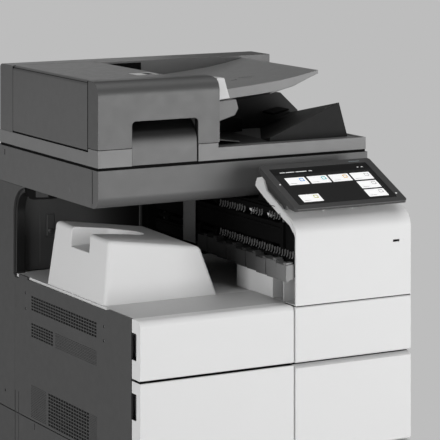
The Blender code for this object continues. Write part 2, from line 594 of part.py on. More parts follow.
# Document tray, (x, z): underside to the right, then top face back to the left
TRAY_PIVOT = (-0.1000, 0.0625, 1.1765)
TRAY_OUTLINE = [(-0.1135, 1.1700), (0.0260, 1.1855), (0.1500, 1.2010), (0.2385, 1.2270),
                (0.2385, 1.2340), (0.1470, 1.2170), (0.0260, 1.2055), (-0.1135, 1.1830)]
piece("document_tray", prism(TRAY_OUTLINE, "y", -0.1000, 0.2250), DARK, TRAY_PIVOT)

# Paper guides: a wall and a flat foot on the tray's lower slope
TRAY_SLOPE = (1.2055 - 1.1830) / (0.0260 + 0.1135)


def guide_section(height):
    """(x, z) strip along the tray's top face, up to height above it."""
    return [(x, 1.1830 + (x + 0.1135) * TRAY_SLOPE + up)
            for x, up in ((-0.0950, CLEARANCE), (-0.0400, CLEARANCE),
                          (-0.0400, height), (-0.0950, height))]


# label, wall's front y, foot's y range
for label, wall_y, foot_y0, foot_y1 in (("front", -0.0900, -0.0890, -0.0600),
                                        ("rear", 0.2120, 0.1850, 0.2140)):
    guide = join(prism(guide_section(0.0220), "y", wall_y, wall_y + 0.0030),
                 prism(guide_section(0.0024), "y", foot_y0, foot_y1))
    piece("paper_guide_" + label, guide, DARK, TRAY_PIVOT)

# Exit ramp: a fin rising to the right, its top cut by a plane that falls to the back
RAMP_FRONT = -0.1200
CREST_X, CREST_Z = 0.2777, 1.1655   # crest at the front edge
ramp = prism([(0.1090, 1.0945), (0.1090, 1.1010), (CREST_X, CREST_Z), (0.2990, 1.0945)],
             "y", RAMP_FRONT, 0.1900)
corners = ((0.05, -0.14), (0.32, -0.14), (0.32, 0.22), (0.05, 0.22))
above_ramp = loft([(x, y, CREST_Z + 0.38235 * (x - CREST_X) - 0.2172 * (y - RAMP_FRONT))
                   for x, y in corners],
                  [(x, y, 1.30) for x, y in corners])
piece("adf_exit_ramp", cut(ramp, above_ramp), DARK, LID_PIVOT)

# ============================================================ front doors
DOOR_BOTTOM = 0.5035
DOOR_SPLIT = (0.6800, 0.6845)   # top of lower door, bottom of upper door
HINGE_UP = 0.0115               # hinge height above the door's bottom edge


def door(name, bottom, top_left, top_right, chamfer):
    """Drop-down door: hollow moulding, its right part a little proud."""
    left_part = prism(rounded([(DOOR_Y, bottom), (DOOR_Y, top_left), (DOOR_BACK, top_left),
                               (DOOR_BACK, bottom)], {0: 0.002, 1: 0.012 if chamfer else 0.002}),
                      "x", -HALF_W, SPLIT_X0 + 0.0015)
    inner = [(DOOR_BACK, top_right), (DOOR_BACK, bottom)]
    if chamfer:
        inner = [(-0.3270, top_right), (DOOR_BACK, top_right - 0.0250), (DOOR_BACK, bottom)]
    right_part = prism([(PROUD_Y + 0.003, bottom), (PROUD_Y, bottom + 0.003),
                        (PROUD_Y, top_right - 0.002), (PROUD_Y + 0.002, top_right)] + inner,
                       "x", SPLIT_X0 + 0.0010, HALF_W)
    left_hollow = box(-HALF_W + 0.0030, SPLIT_X0 - 0.0030, DOOR_Y + 0.0060, -0.28,
                      bottom + WALL, top_left - WALL)
    right_hollow = box(SPLIT_X0 + 0.0050, HALF_W - 0.0030, PROUD_Y + 0.0080, -0.28,
                       bottom + WALL, top_right - (0.030 if chamfer else WALL))
    groove = box(SPLIT_X0, SPLIT_X1, CUT_FRONT, DOOR_Y + 0.0030, bottom - 0.01, top_left + 0.01)
    piece(name, cut(join(left_part, right_part), left_hollow, right_hollow, groove), WHITE,
          (0.0, -0.336, bottom + HINGE_UP))


door("upper_front_door", DOOR_SPLIT[1], LEDGE_Z, 0.7945, chamfer=True)
door("lower_front_door", DOOR_BOTTOM, DOOR_SPLIT[0], DOOR_SPLIT[0], chamfer=False)

# ============================================================ paper drawers
DRAWER_Y = PROUD_Y + 0.002
TUB = (-0.2900, 0.2900, -0.3086, 0.2850)   # x0, x1, y0, y1
# label, front bottom and top, tub bottom and top
DRAWERS = (("1", 0.3980, 0.4990, 0.4000, 0.4900),
           ("2", 0.2935, 0.3955, 0.2895, 0.3860),
           ("3", 0.0780, 0.2815, 0.0710, 0.2700))
for label, z0, z1, tub_z0, tub_z1 in DRAWERS:
    pivot = (0.0, DOOR_BACK, (z0 + z1) / 2)
    front = prism(rounded([(DRAWER_Y, z0), (DRAWER_Y, z1), (DOOR_BACK, z1), (DOOR_BACK, z0)],
                          {0: 0.003, 1: 0.003}, 3), "x", -HALF_W, HALF_W)
    hollow = box(-HALF_W + WALL, HALF_W - WALL, PROUD_Y + 0.0300, -0.28, z0 + WALL, z1 - WALL)
    grip = prism([(CUT_FRONT, z1 - 0.0100), (-0.3280, z1 - 0.0100), (-0.3280, z1 - 0.0260),
                  (-0.3440, z1 - 0.0340), (CUT_FRONT, z1 - 0.0340)], "x", -0.0700, 0.0700)
    piece("drawer_front_" + label, cut(front, hollow, grip), WHITE, pivot)
    tub = hollow_box(TUB, tub_z0, tub_z1, WALL, tub_z0 + WALL, tub_z1 + 0.05)
    piece("drawer_tub_" + label, tub, BLACK, pivot)

# ============================================================ right door and bypass tray
RDOOR_Y = (-0.2985, 0.2055)
RDOOR_Z = (0.5066, 0.7970)
right_door = cut(box(0.2800, HALF_W, *RDOOR_Y, *RDOOR_Z),
                 box(0.2700, 0.2925, RDOOR_Y[0] + WALL, RDOOR_Y[1] - WALL,
                     RDOOR_Z[0] + WALL, RDOOR_Z[1] - WALL),
                 box(0.2960, 0.32, -0.2525, 0.1025, 0.5575, 0.7830))   # bay for the tray
piece("right_door", right_door, DARK, (0.2985, 0.1995, 0.6520))
bypass = prism(rounded([(0.2985, 0.5600), (0.2985, 0.7805), (HALF_W, 0.7805),
                        (HALF_W, 0.5600)], {0: 0.003, 3: 0.003}, 3), "y", -0.2505, 0.1005)
piece("bypass_tray", bypass, DARK, (0.3030, -0.0750, 0.5645))

# ============================================================ print engine
inner_panel = box(-0.2970, 0.2760, -0.3040, -0.3005, 0.5066, 0.7870)
openings = [rod("y", (x, 0, BOTTLE_Z), 0.0320, -0.32, -0.29, 24) for x in BOTTLE_X]
openings += [rod("y", (x, 0, DRUM_Z), 0.0180, -0.32, -0.29) for x in BOTTLE_X]
piece("inner_front_panel", cut(inner_panel, *openings), INNER)

# Toner bottles and drums, (radius, y) from front to back
BOTTLE_PROFILE = [(0.0210, -0.3055), (0.0290, -0.3020), (0.0290, -0.2700), (0.0265, -0.2660),
                  (0.0265, 0.2400), (0.0140, 0.2700), (JOURNAL_R, 0.2760),
                  (JOURNAL_R, 0.3036)]
DRUM_PROFILE = [(JOURNAL_R, -0.2976), (JOURNAL_R, -0.2800), (0.0150, -0.2790),
                (0.0150, 0.2790), (JOURNAL_R, 0.2800), (JOURNAL_R, 0.3036)]
for x, (name, colour) in zip(BOTTLE_X, TONER_COLOURS.items()):
    axle = (x, 0.0, BOTTLE_Z)
    piece("toner_bottle_" + name, turned(BOTTLE_PROFILE, "y", axle, 20),
          material("toner_" + name, colour=colour, rough=0.45), axle, smooth=True)
    axle = (x, 0.0, DRUM_Z)
    piece("drum_" + name, turned(DRUM_PROFILE, "y", axle, 20), DRUM, axle, smooth=True)

LASER_TOP, LASER_SKIN = 0.5650, 0.003
piece("laser_unit",
      hollow_box((-0.2600, 0.1900, -0.2700, 0.2700), 0.5100, LASER_TOP, LASER_SKIN,
                 0.5000, LASER_TOP - LASER_SKIN), LASER)


def belt_loop(radius, half_length):
    """Solid inside a flat loop round two level centres."""
    return prism(arc(-0.2300, 0.6500, radius, 90, 270, 8)
                 + arc(0.1900, 0.6500, radius, -90, 90, 8), "y", -half_length, half_length)


# Transfer belt, with a flat plate across its inside
belt = cut(belt_loop(0.0220, 0.2600), belt_loop(0.0190, 0.2700))
belt = join(belt, box(-0.2505, 0.2105, -0.2550, 0.2550, 0.6485, 0.6515))
piece("transfer_belt_unit", belt, BELT)

# Fuser: a housing open to the right, and its roller
FUSER_AXLE = (0.2450, 0.0, 0.7425)
FUSER_SHAFT_R, FUSER_R = 0.0060, 0.0200
housing = cut(box(0.2050, 0.2740, -0.2930, 0.2990, 0.7000, 0.7850),
              box(0.2150, 0.30, -0.2830, 0.2890, 0.7100, 0.7750),
              bore(FUSER_AXLE[0], FUSER_AXLE[2], FUSER_SHAFT_R, -0.31, 0.32))
piece("fuser_housing", housing, BLACK)
fuser_profile = [(FUSER_SHAFT_R, -0.2925), (FUSER_SHAFT_R, -0.2750), (FUSER_R, -0.2740),
                 (FUSER_R, 0.2740), (FUSER_SHAFT_R, 0.2750), (FUSER_SHAFT_R, 0.2985)]
piece("fuser_roller", turned(fuser_profile, "y", FUSER_AXLE, 20), FUSER,
      FUSER_AXLE, smooth=True)
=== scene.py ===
"""Looks of the office photocopier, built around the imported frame.

Coordinates below are in the machine's drawing frame (x = 0 in the middle of the
casing, y = 0 in the middle of its depth); obj() moves everything by S into the
row frame, the same shift the CAD uses.
"""

import math

import bmesh
import bpy
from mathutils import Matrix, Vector

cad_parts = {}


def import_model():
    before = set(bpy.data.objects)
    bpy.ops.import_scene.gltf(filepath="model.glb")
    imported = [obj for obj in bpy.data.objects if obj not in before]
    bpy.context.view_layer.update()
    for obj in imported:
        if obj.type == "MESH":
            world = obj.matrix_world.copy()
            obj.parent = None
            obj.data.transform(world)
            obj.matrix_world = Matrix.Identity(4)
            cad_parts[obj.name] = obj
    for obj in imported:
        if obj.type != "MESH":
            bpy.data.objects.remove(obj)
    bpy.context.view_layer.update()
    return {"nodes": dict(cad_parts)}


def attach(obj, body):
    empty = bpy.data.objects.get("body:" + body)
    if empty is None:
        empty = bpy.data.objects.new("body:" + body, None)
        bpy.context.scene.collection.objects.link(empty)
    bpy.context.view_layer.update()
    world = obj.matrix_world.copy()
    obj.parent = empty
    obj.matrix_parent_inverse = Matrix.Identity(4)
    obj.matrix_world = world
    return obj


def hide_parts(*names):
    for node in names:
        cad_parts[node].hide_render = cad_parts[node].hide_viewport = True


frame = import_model()
NODES = frame["nodes"]
S = Vector((-0.0076, 0.0080, 0.0))

HALF_W, TOP_Z, LEDGE_Z = 0.3075, 1.239, 0.799
DOOR_Y, PROUD_Y, DOOR_BACK, SIDE_Y, BACK_Y = -0.344, -0.348, -0.309, -0.306, 0.344
SCAN_FRONT, SCAN_RIGHT, LID_RIGHT = -0.1607, 0.3227, 0.3187
SX0, SX1 = 0.0330, 0.0360
TILT = math.radians(24.8)

# =====================================================================  mesh tools


def rounded(points, radii, steps=8):
    out = []
    n = len(points)
    for i, p in enumerate(points):
        r = radii.get(i, 0.0) if isinstance(radii, dict) else radii
        if r <= 0.0:
            out.append(tuple(p))
            continue
        p = Vector(p)
        a = (Vector(points[i - 1]) - p).normalized()
        b = (Vector(points[(i + 1) % n]) - p).normalized()
        half = a.angle(b) / 2.0
        reach = r / math.tan(half)
        centre = p + (a + b).normalized() * (r / math.sin(half))
        start = p + a * reach - centre
        end = p + b * reach - centre
        turn = start.angle_signed(end)
        for k in range(steps + 1):
            t = -turn * k / steps
            c, s = math.cos(t), math.sin(t)
            out.append((centre.x + start.x * c - start.y * s,
                        centre.y + start.x * s + start.y * c))
    return out


def arc(cx, cy, r, a0, a1, steps):
    return [(cx + r * math.cos(math.radians(a0 + (a1 - a0) * k / steps)),
             cy + r * math.sin(math.radians(a0 + (a1 - a0) * k / steps)))
            for k in range(steps + 1)]


def to_mesh(bm, clean=True):
    if clean:
        bmesh.ops.remove_doubles(bm, verts=bm.verts, dist=1e-6)
    bmesh.ops.recalc_face_normals(bm, faces=bm.faces)
    me = bpy.data.meshes.new("shape")
    bm.to_mesh(me)
    bm.free()
    return me


def prism(profile, axis, lo, hi):
    bm = bmesh.new()
    place = {"x": lambda p: (lo, p[0], p[1]), "y": lambda p: (p[0], lo, p[1]),
             "z": lambda p: (p[0], p[1], lo)}[axis]
    face = bm.faces.new([bm.verts.new(place(p)) for p in profile])
    moved = bmesh.ops.extrude_face_region(bm, geom=[face])
    step = {"x": (hi - lo, 0, 0), "y": (0, hi - lo, 0), "z": (0, 0, hi - lo)}[axis]
    bmesh.ops.translate(bm, vec=step,
                        verts=[v for v in moved["geom"] if isinstance(v, bmesh.types.BMVert)])
    return to_mesh(bm)


def box(x0, x1, y0, y1, z0, z1):
    return prism([(x0, y0), (x1, y0), (x1, y1), (x0, y1)], "z", z0, z1)


def turned(profile, axis, centre, steps=48, cap=True):
    bm = bmesh.new()
    rings = []
    for r, a in profile:
        ring = []
        for k in range(steps):
            t = 2 * math.pi * k / steps
            c, s = r * math.cos(t), r * math.sin(t)
            ring.append(bm.verts.new({
                "x": (centre[0] + a, centre[1] + c, centre[2] + s),
                "y": (centre[0] + c, centre[1] + a, centre[2] + s),
                "z": (centre[0] + c, centre[1] + s, centre[2] + a)}[axis]))
        rings.append(ring)
    for ra, rb in zip(rings, rings[1:]):
        for k in range(steps):
            j = (k + 1) % steps
            bm.faces.new((ra[k], ra[j], rb[j], rb[k]))
    if cap:
        bm.faces.new(rings[0])
        bm.faces.new(rings[-1])
    return to_mesh(bm)


def rod(axis, centre, r, lo, hi, steps=32):
    return turned([(r, lo), (r, hi)], axis, centre, steps)


def together(*meshes):
    """Several separate bodies in one mesh, such as a group of identical cutters."""
    bm = bmesh.new()
    for me in meshes:
        bm.from_mesh(me)
    return to_mesh(bm, clean=False)


def boolean(base, operation, *others):
    link = bpy.context.scene.collection.objects.link
    for other in others:
        a = bpy.data.objects.new("work_a", base)
        b = bpy.data.objects.new("work_b", other)
        link(a)
        link(b)
        mod = a.modifiers.new("cut", "BOOLEAN")
        mod.operation = operation
        mod.solver = "EXACT"
        mod.object = b
        bpy.context.view_layer.update()
        graph = bpy.context.evaluated_depsgraph_get()
        result = bpy.data.meshes.new_from_object(a.evaluated_get(graph))
        bpy.data.objects.remove(a, do_unlink=True)
        bpy.data.objects.remove(b, do_unlink=True)
        base = result
    return base


def cut(base, *others):
    return boolean(base, "DIFFERENCE", *others)


def join(base, *others):
    return boolean(base, "UNION", *others)


def both(base, *others):
    return boolean(base, "INTERSECT", *others)


def obj(name, mesh, mat, body, bevel=0.0008, seg=2, angle=32, replaces=(),
        smooth=35, shift=True):
    """A finished piece: shifted to the row frame, edges rounded, riding on its body."""
    bm = bmesh.new()
    bm.from_mesh(mesh)
    bmesh.ops.remove_doubles(bm, verts=bm.verts, dist=2e-6)
    bmesh.ops.dissolve_limit(bm, angle_limit=math.radians(0.08), verts=bm.verts, edges=bm.edges)
    if shift:
        bmesh.ops.translate(bm, vec=S, verts=bm.verts)
    me = bpy.data.meshes.new(name)
    bm.to_mesh(me)
    bm.free()
    me.materials.clear()
    for m in (mat if isinstance(mat, (list, tuple)) else [mat]):
        me.materials.append(m)
    o = bpy.data.objects.new(name, me)
    bpy.context.scene.collection.objects.link(o)
    edges(o, bevel, seg, angle, smooth)
    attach(o, body)
    if replaces:
        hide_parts(*replaces)
    return o


def edges(o, bevel, seg=2, angle=32, smooth=35):
    o.data.shade_smooth()
    o.data.set_sharp_from_angle(angle=math.radians(smooth))
    if bevel > 0:
        b = o.modifiers.new("edge", "BEVEL")
        b.width = bevel
        b.segments = seg
        b.limit_method = "ANGLE"
        b.angle_limit = math.radians(angle)
        b.use_clamp_overlap = True
        b.harden_normals = True
        w = o.modifiers.new("normals", "WEIGHTED_NORMAL")
        w.keep_sharp = True


def keep(node, mat, bevel=0.0008, seg=2, angle=32, smooth=35):
    """A CAD node that stays: its own shape with softened edges and a finish."""
    o = NODES[node]
    o.data.materials.clear()
    o.data.materials.append(mat)
    if o.data.has_custom_normals:
        with bpy.context.temp_override(object=o, active_object=o, selected_objects=[o]):
            bpy.context.view_layer.objects.active = o
            bpy.ops.mesh.customdata_custom_splitnormals_clear()
    o.data.shade_smooth()
    w = o.modifiers.new("weld", "WELD")
    w.merge_threshold = 0.00001
    if bevel > 0:
        d = o.modifiers.new("flat", "DECIMATE")
        d.decimate_type = "DISSOLVE"
        d.angle_limit = math.radians(1.0)
        b = o.modifiers.new("edge", "BEVEL")
        b.width = bevel
        b.segments = seg
        b.limit_method = "ANGLE"
        b.angle_limit = math.radians(angle)
        b.harden_normals = False
    s = o.modifiers.new("normals", "WEIGHTED_NORMAL")
    s.keep_sharp = False
    return o


# =====================================================================  materials


def nodes_of(name):
    m = bpy.data.materials.new(name)
    m.use_nodes = True
    t = m.node_tree
    return m, t, t.nodes["Principled BSDF"]


def srgb(v):
    v = v / 255.0
    return v / 12.92 if v <= 0.04045 else ((v + 0.055) / 1.055) ** 2.4


def add(t, kind, **props):
    n = t.nodes.new(kind)
    for k, v in props.items():
        if k in n.inputs:
            n.inputs[k].default_value = v
        else:
            setattr(n, k, v)
    return n


def moulded(name, colour, rough, grain=900.0, bump=0.10, vary=0.05, edge_rub_and_highlight=0.35, coat=0.0,
            metal=0.0, spec=0.5, deep=None):
    """Moulded plastic or paint: spark-eroded grain, slight mottling, edges lighter,
    partly rubbed and partly a painted edge highlight, roughness broken up by faint handling marks."""
    m, t, b = nodes_of(name)
    c = (*colour, 1.0) if len(colour) == 3 else colour
    link = t.links.new
    geo = add(t, "ShaderNodeTexCoord")
    low = add(t, "ShaderNodeTexNoise", Scale=7.0, Detail=4.0, Roughness=0.6)
    link(geo.outputs["Object"], low.inputs["Vector"])
    fine = add(t, "ShaderNodeTexNoise", Scale=grain, Detail=2.0, Roughness=0.55)
    link(geo.outputs["Object"], fine.inputs["Vector"])
    cell = add(t, "ShaderNodeTexVoronoi", Scale=grain * 0.8)
    link(geo.outputs["Object"], cell.inputs["Vector"])
    # mottled colour
    dark = tuple(v * (1 - vary) for v in c[:3]) + (1,)
    lite = tuple(min(1, v * (1 + vary) + 0.002) for v in c[:3]) + (1,)
    ramp = add(t, "ShaderNodeMix", data_type="RGBA")
    ramp.inputs[6].default_value = dark
    ramp.inputs[7].default_value = lite
    link(low.outputs["Fac"], ramp.inputs[0])
    # lighter edges: partly rubbed, partly a painted edge highlight
    rnd = add(t, "ShaderNodeBevel", Radius=0.0012)
    rnd.samples = 3
    dot = add(t, "ShaderNodeVectorMath", operation="DOT_PRODUCT")
    normal = add(t, "ShaderNodeNewGeometry")
    link(rnd.outputs[0], dot.inputs[0])
    link(normal.outputs["Normal"], dot.inputs[1])
    edge = add(t, "ShaderNodeMapRange")
    edge.inputs["From Min"].default_value = 0.995
    edge.inputs["From Max"].default_value = 0.80
    edge.inputs["To Max"].default_value = edge_rub_and_highlight
    link(dot.outputs["Value"], edge.inputs["Value"])
    scuff = add(t, "ShaderNodeTexNoise", Scale=55.0, Detail=3.0)
    link(geo.outputs["Object"], scuff.inputs["Vector"])
    rubbed_and_highlit = add(t, "ShaderNodeMath", operation="MULTIPLY")
    link(edge.outputs["Result"], rubbed_and_highlit.inputs[0])
    link(scuff.outputs["Fac"], rubbed_and_highlit.inputs[1])
    tint = add(t, "ShaderNodeMix", data_type="RGBA")
    tint.inputs[7].default_value = tuple(min(1, v * 1.5 + 0.03) for v in c[:3]) + (1,)
    link(rubbed_and_highlit.outputs[0], tint.inputs[0])
    link(ramp.outputs[2], tint.inputs[6])
    if deep:
        # painted light and shade: the colour ramps to a second tone between two positions along one axis, darker for
        # painted shade, lighter for a painted lit face
        at = add(t, "ShaderNodeSeparateXYZ")
        link(geo.outputs["Object"], at.inputs[0])
        rise = add(t, "ShaderNodeMapRange", interpolation_type="SMOOTHSTEP")
        rise.inputs["From Min"].default_value = deep[0]
        rise.inputs["From Max"].default_value = deep[1]
        link(at.outputs[deep[3]], rise.inputs["Value"])
        lit_and_shaded_tones = add(t, "ShaderNodeMix", data_type="RGBA")
        lit_and_shaded_tones.inputs[7].default_value = (*deep[2], 1)
        link(rise.outputs["Result"], lit_and_shaded_tones.inputs[0])
        link(tint.outputs[2], lit_and_shaded_tones.inputs[6])
        link(lit_and_shaded_tones.outputs[2], b.inputs["Base Color"])
    else:
        link(tint.outputs[2], b.inputs["Base Color"])
    # roughness
    rr = add(t, "ShaderNodeMapRange")
    rr.inputs["To Min"].default_value = max(0.02, rough - 0.06)
    rr.inputs["To Max"].default_value = min(1.0, rough + 0.08)
    link(scuff.outputs["Fac"], rr.inputs["Value"])
    link(rr.outputs["Result"], b.inputs["Roughness"])
    # grain
    h = add(t, "ShaderNodeMix", data_type="FLOAT")
    h.inputs[0].default_value = 0.5
    link(fine.outputs["Fac"], h.inputs[2])
    link(cell.outputs["Distance"], h.inputs[3])
    bp = add(t, "ShaderNodeBump", Strength=bump, Distance=0.00025)
    link(h.outputs[0], bp.inputs["Height"])
    link(bp.outputs["Normal"], b.inputs["Normal"])
    b.inputs["Metallic"].default_value = metal
    b.inputs["Specular IOR Level"].default_value = spec
    b.inputs["Coat Weight"].default_value = coat
    b.inputs["Coat Roughness"].default_value = 0.12
    return m


def grey(v, k=1.0, tint=(1.0, 1.0, 1.0)):
    g = srgb(v) * k
    return (g * tint[0], g * tint[1], g * tint[2])


M_SIDE = moulded("finish_side_grey", grey(68), 0.50, bump=0.12, spec=0.35)
M_COLUMN = moulded("finish_column_grey", grey(70), 0.50, bump=0.12, spec=0.35)
M_TOP = moulded("finish_feeder_grey", grey(82), 0.40, bump=0.10, coat=0.03)
M_FRONT = moulded("finish_feeder_front_grey", grey(73), 0.42, bump=0.10, coat=0.03)
M_BAND = moulded("finish_feeder_base_grey", grey(112), 0.42, bump=0.10)
M_SCAN = moulded("finish_scanner_grey", grey(86), 0.46, bump=0.10)
M_TRAY = moulded("finish_tray_grey", grey(128), 0.46, bump=0.10)
M_RAMP = moulded("finish_ramp_grey", grey(34), 0.60, bump=0.10, edge_rub_and_highlight=0.15, spec=0.15)
# exit hood: painted shade, darkening to near black towards its left end under the tray
M_HOOD_SHADED = moulded("finish_hood_grey_painted_shade", grey(44), 0.60, bump=0.10, edge_rub_and_highlight=0.15, spec=0.2, deep=(0.262, 0.150, grey(3), "X"))
M_WALL = moulded("finish_wall_grey", grey(62), 0.48, bump=0.12)
# cavity back wall: painted shade, darkening to near black towards its right end
M_BACKWALL_SHADED = moulded("finish_cavity_wall_painted_shade", grey(66), 0.48, bump=0.12, deep=(-0.150, -0.010, grey(3), "X"))
M_WHITE = moulded("finish_cover_white", grey(222), 0.46, grain=700, bump=0.05, vary=0.010, edge_rub_and_highlight=0.10, spec=0.4)
M_OFF = moulded("finish_tray_white", grey(218), 0.50, grain=700, bump=0.07, vary=0.012, edge_rub_and_highlight=0.10, spec=0.4)
# ledge: the cover white made darker as painted shade
M_LEDGE_SHADED = moulded("finish_ledge_white_painted_shade", grey(188), 0.50, grain=700, bump=0.06, vary=0.012, edge_rub_and_highlight=0.10, spec=0.4)
M_BLACK = moulded("finish_black", grey(20), 0.42, bump=0.10, edge_rub_and_highlight=0.35)
M_DEEP = moulded("finish_deep_black", grey(4), 0.75, bump=0.08, edge_rub_and_highlight=0.05, spec=0.10)
M_TEETH = moulded("finish_guide_teeth", grey(108), 0.45, bump=0.08)
# plinth: painted shade of the panel on the pillar slope
M_PLINTH_SHADE = moulded("finish_plinth_painted_shade", grey(52), 0.42, bump=0.08)
M_RAIL = moulded("finish_exit_rail", grey(120), 0.45, bump=0.08)
# lower guide fins: painted light, the dark grey turning light grey towards the front
M_FIN_LIT = moulded("finish_lower_guide_painted_light", grey(44), 0.40, bump=0.10, deep=(-0.150, -0.340, grey(120), 1))
M_CAB = moulded("finish_cabinet_paint", grey(84), 0.40, grain=260, bump=0.12, vary=0.04, coat=0.1)
M_INNER = moulded("finish_inner_grey", grey(150), 0.45, bump=0.08, vary=0.02)
M_PANEL = moulded("finish_panel_dark", grey(64), 0.36, bump=0.08)
M_RUBBER = moulded("finish_roller_rubber", grey(205), 0.62, grain=1500, bump=0.15, vary=0.06)
M_TYRE = moulded("finish_castor_rubber", grey(34), 0.55, grain=1200, bump=0.15)
M_FUSER = moulded("finish_fuser_silicone", (0.30, 0.07, 0.04), 0.30, grain=1500, bump=0.05)
M_PAD = moulded("finish_platen_pad", grey(230), 0.65, grain=1400, bump=0.12, vary=0.01, edge_rub_and_highlight=0.05)
M_STEEL = moulded("finish_steel", (0.42, 0.43, 0.44), 0.36, grain=400, bump=0.05, metal=0.95, vary=0.08)
M_DRUM = moulded("finish_drum", (0.03, 0.15, 0.12), 0.10, grain=2500, bump=0.01, coat=0.5)
M_BELT = moulded("finish_belt", grey(24), 0.14, grain=2500, bump=0.01, coat=0.5)
M_LIGHT = moulded("finish_light_strip", grey(205), 0.45, bump=0.08, vary=0.02, edge_rub_and_highlight=0.1)
# handle: painted shade, turning near black towards the top of the recess
M_HANDLE_SHADED = moulded("finish_handle_painted_shade", grey(92), 0.45, bump=0.10, deep=(1.100, 1.132, grey(3), "Z"))
M_TONER = {
    "yellow": moulded("finish_toner_yellow", (0.80, 0.62, 0.03), 0.40, bump=0.06),
    "magenta": moulded("finish_toner_magenta", (0.62, 0.03, 0.22), 0.40, bump=0.06),
    "cyan": moulded("finish_toner_cyan", (0.02, 0.30, 0.58), 0.40, bump=0.06),
    "black": moulded("finish_toner_black", (0.025, 0.025, 0.027), 0.40, bump=0.06),
}


def glass(name, colour, rough=0.03):
    m, t, b = nodes_of(name)
    b.inputs["Base Color"].default_value = (*colour, 1)
    b.inputs["Transmission Weight"].default_value = 0.85
    b.inputs["IOR"].default_value = 1.5
    geo = add(t, "ShaderNodeTexCoord")
    n = add(t, "ShaderNodeTexNoise", Scale=14.0, Detail=6.0)
    t.links.new(geo.outputs["Object"], n.inputs["Vector"])
    r = add(t, "ShaderNodeMapRange")
    r.inputs["To Min"].default_value = rough
    r.inputs["To Max"].default_value = rough + 0.09
    t.links.new(n.outputs["Fac"], r.inputs["Value"])
    t.links.new(r.outputs["Result"], b.inputs["Roughness"])
    return m


def lit(name, colour, strength, mottle=0.04, coat=0.6):
    """A lit patch of the display: faint backlight unevenness."""
    m, t, b = nodes_of(name)
    geo = add(t, "ShaderNodeTexCoord")
    n = add(t, "ShaderNodeTexNoise", Scale=30.0, Detail=2.0)
    t.links.new(geo.outputs["Object"], n.inputs["Vector"])
    mix = add(t, "ShaderNodeMix", data_type="RGBA")
    mix.inputs[6].default_value = tuple(v * (1 - mottle) for v in colour) + (1,)
    mix.inputs[7].default_value = tuple(min(1, v * (1 + mottle)) for v in colour) + (1,)
    t.links.new(n.outputs["Fac"], mix.inputs[0])
    t.links.new(mix.outputs[2], b.inputs["Base Color"])
    t.links.new(mix.outputs[2], b.inputs["Emission Color"])
    b.inputs["Emission Strength"].default_value = strength
    b.inputs["Roughness"].default_value = 0.22
    b.inputs["Coat Weight"].default_value = coat
    b.inputs["Coat Roughness"].default_value = 0.04
    return m


M_GLASS = glass("finish_platen_glass", (0.80, 0.88, 0.86))
M_SCREEN = lit("finish_screen_background", grey(22), 0.12, 0.10, 0.12)
M_SCREEN_BAR = lit("finish_screen_bar", grey(3), 0.0, 0.04, 0.0)

# =====================================================================  document feeder
ROLLER = (-0.1650, 0.0, 1.1920)


def scoop(n=20):
    """Section of the handle recess: flush below, curling inwards to a deep shadowed top."""
    pts = [(-0.180, 1.0700), (-0.180, 1.1580), (SCAN_FRONT + 0.0415, 1.1580)]
    for k in range(n + 1):
        q = 1 - k / n
        pts.append((SCAN_FRONT + 0.0415 * q ** 3.4 - (0.0004 if k == n else 0), 1.0960 + 0.0615 * q))
    return pts


def handle(x0, x1, r, inner, outer):
    """Slab between two offsets of the recess surface, with rounded upper corners."""
    a = [(y + inner, z) for y, z in scoop()[2:]]
    a.append((a[-1][0], 1.0700))
    b = [(y + outer, z) for y, z in scoop()[2:]]
    b.append((b[-1][0], 1.0700))
    me = prism(a + b[::-1], "x", x0, x1)
    return both(me, prism(rounded([(x0, 1.060), (x1, 1.060), (x1, 1.1580), (x0, 1.1580)], {2: r, 3: r}, 8),
                          "y", -0.20, -0.05))


SCOOP = both(prism([(y + (0.0050 if y > SCAN_FRONT - 0.001 else 0.0), z) for y, z in scoop()]
                   + [(SCAN_FRONT + 0.0046, 1.0600), (-0.180, 1.0600)], "x", -0.2325, -0.0822),
             prism(rounded([(-0.2325, 1.050), (-0.0822, 1.050), (-0.0822, 1.1580), (-0.2325, 1.1580)],
                           {2: 0.009, 3: 0.009}, 8), "y", -0.20, -0.05))

front = prism(rounded([(SCAN_FRONT, 1.1050), (SCAN_FRONT, TOP_Z), (-0.1140, TOP_Z),
                       (-0.1140, 1.1050)], {1: 0.030}, 14), "x", -HALF_W, -0.0330)
front = both(front, prism(rounded([(-HALF_W, 1.09), (-0.0330, 1.09), (-0.0330, TOP_Z + 0.0001),
                                   (-HALF_W, TOP_Z + 0.0001)], {2: 0.012, 3: 0.0025}, 8), "y", -0.20, -0.05))
front = cut(front, SCOOP)
obj("feeder_front_cover", front, M_FRONT, "adf_lid", 0.0011, 3, replaces=("adf_front_cover",))
obj("feeder_handle", handle(-0.2320, -0.0856, 0.0085, 0.0002, 0.0045), M_HANDLE_SHADED, "adf_lid", 0.0004, 2)

band = box(-HALF_W, -0.0360, SCAN_FRONT, -0.1140, 1.0692, 1.1036)
band = join(band, box(-HALF_W, -0.0360, -0.1150, 0.3250, 1.0700, 1.0962),
            box(-HALF_W, LID_RIGHT, SCAN_FRONT, 0.3250, 1.0692, 1.0940))
band = cut(band, SCOOP, box(-0.2350, 0.2150, -0.1200, 0.2000, 1.05, 1.0702),
           box(-0.0850, -0.0816, -0.17, SCAN_FRONT + 0.0120, 1.0640, 1.1100),
           # sunk paper-exit floor with a small front lip
           box(-0.0345, 0.3120, -0.1500, 0.2200, 1.0922, 1.1200))
for lx in (-0.2350, 0.1950):
    knuckle = join(rod("x", (lx, 0.3355, 1.0750), 0.0070, 0.0510, 0.0740, 32),
                   box(lx + 0.0510, lx + 0.0740, 0.3220, 0.3355, 1.0682, 1.0818))
    band = join(band, cut(knuckle, rod("x", (lx, 0.3355, 1.0750), 0.0032, 0.0400, 0.0900, 24)))
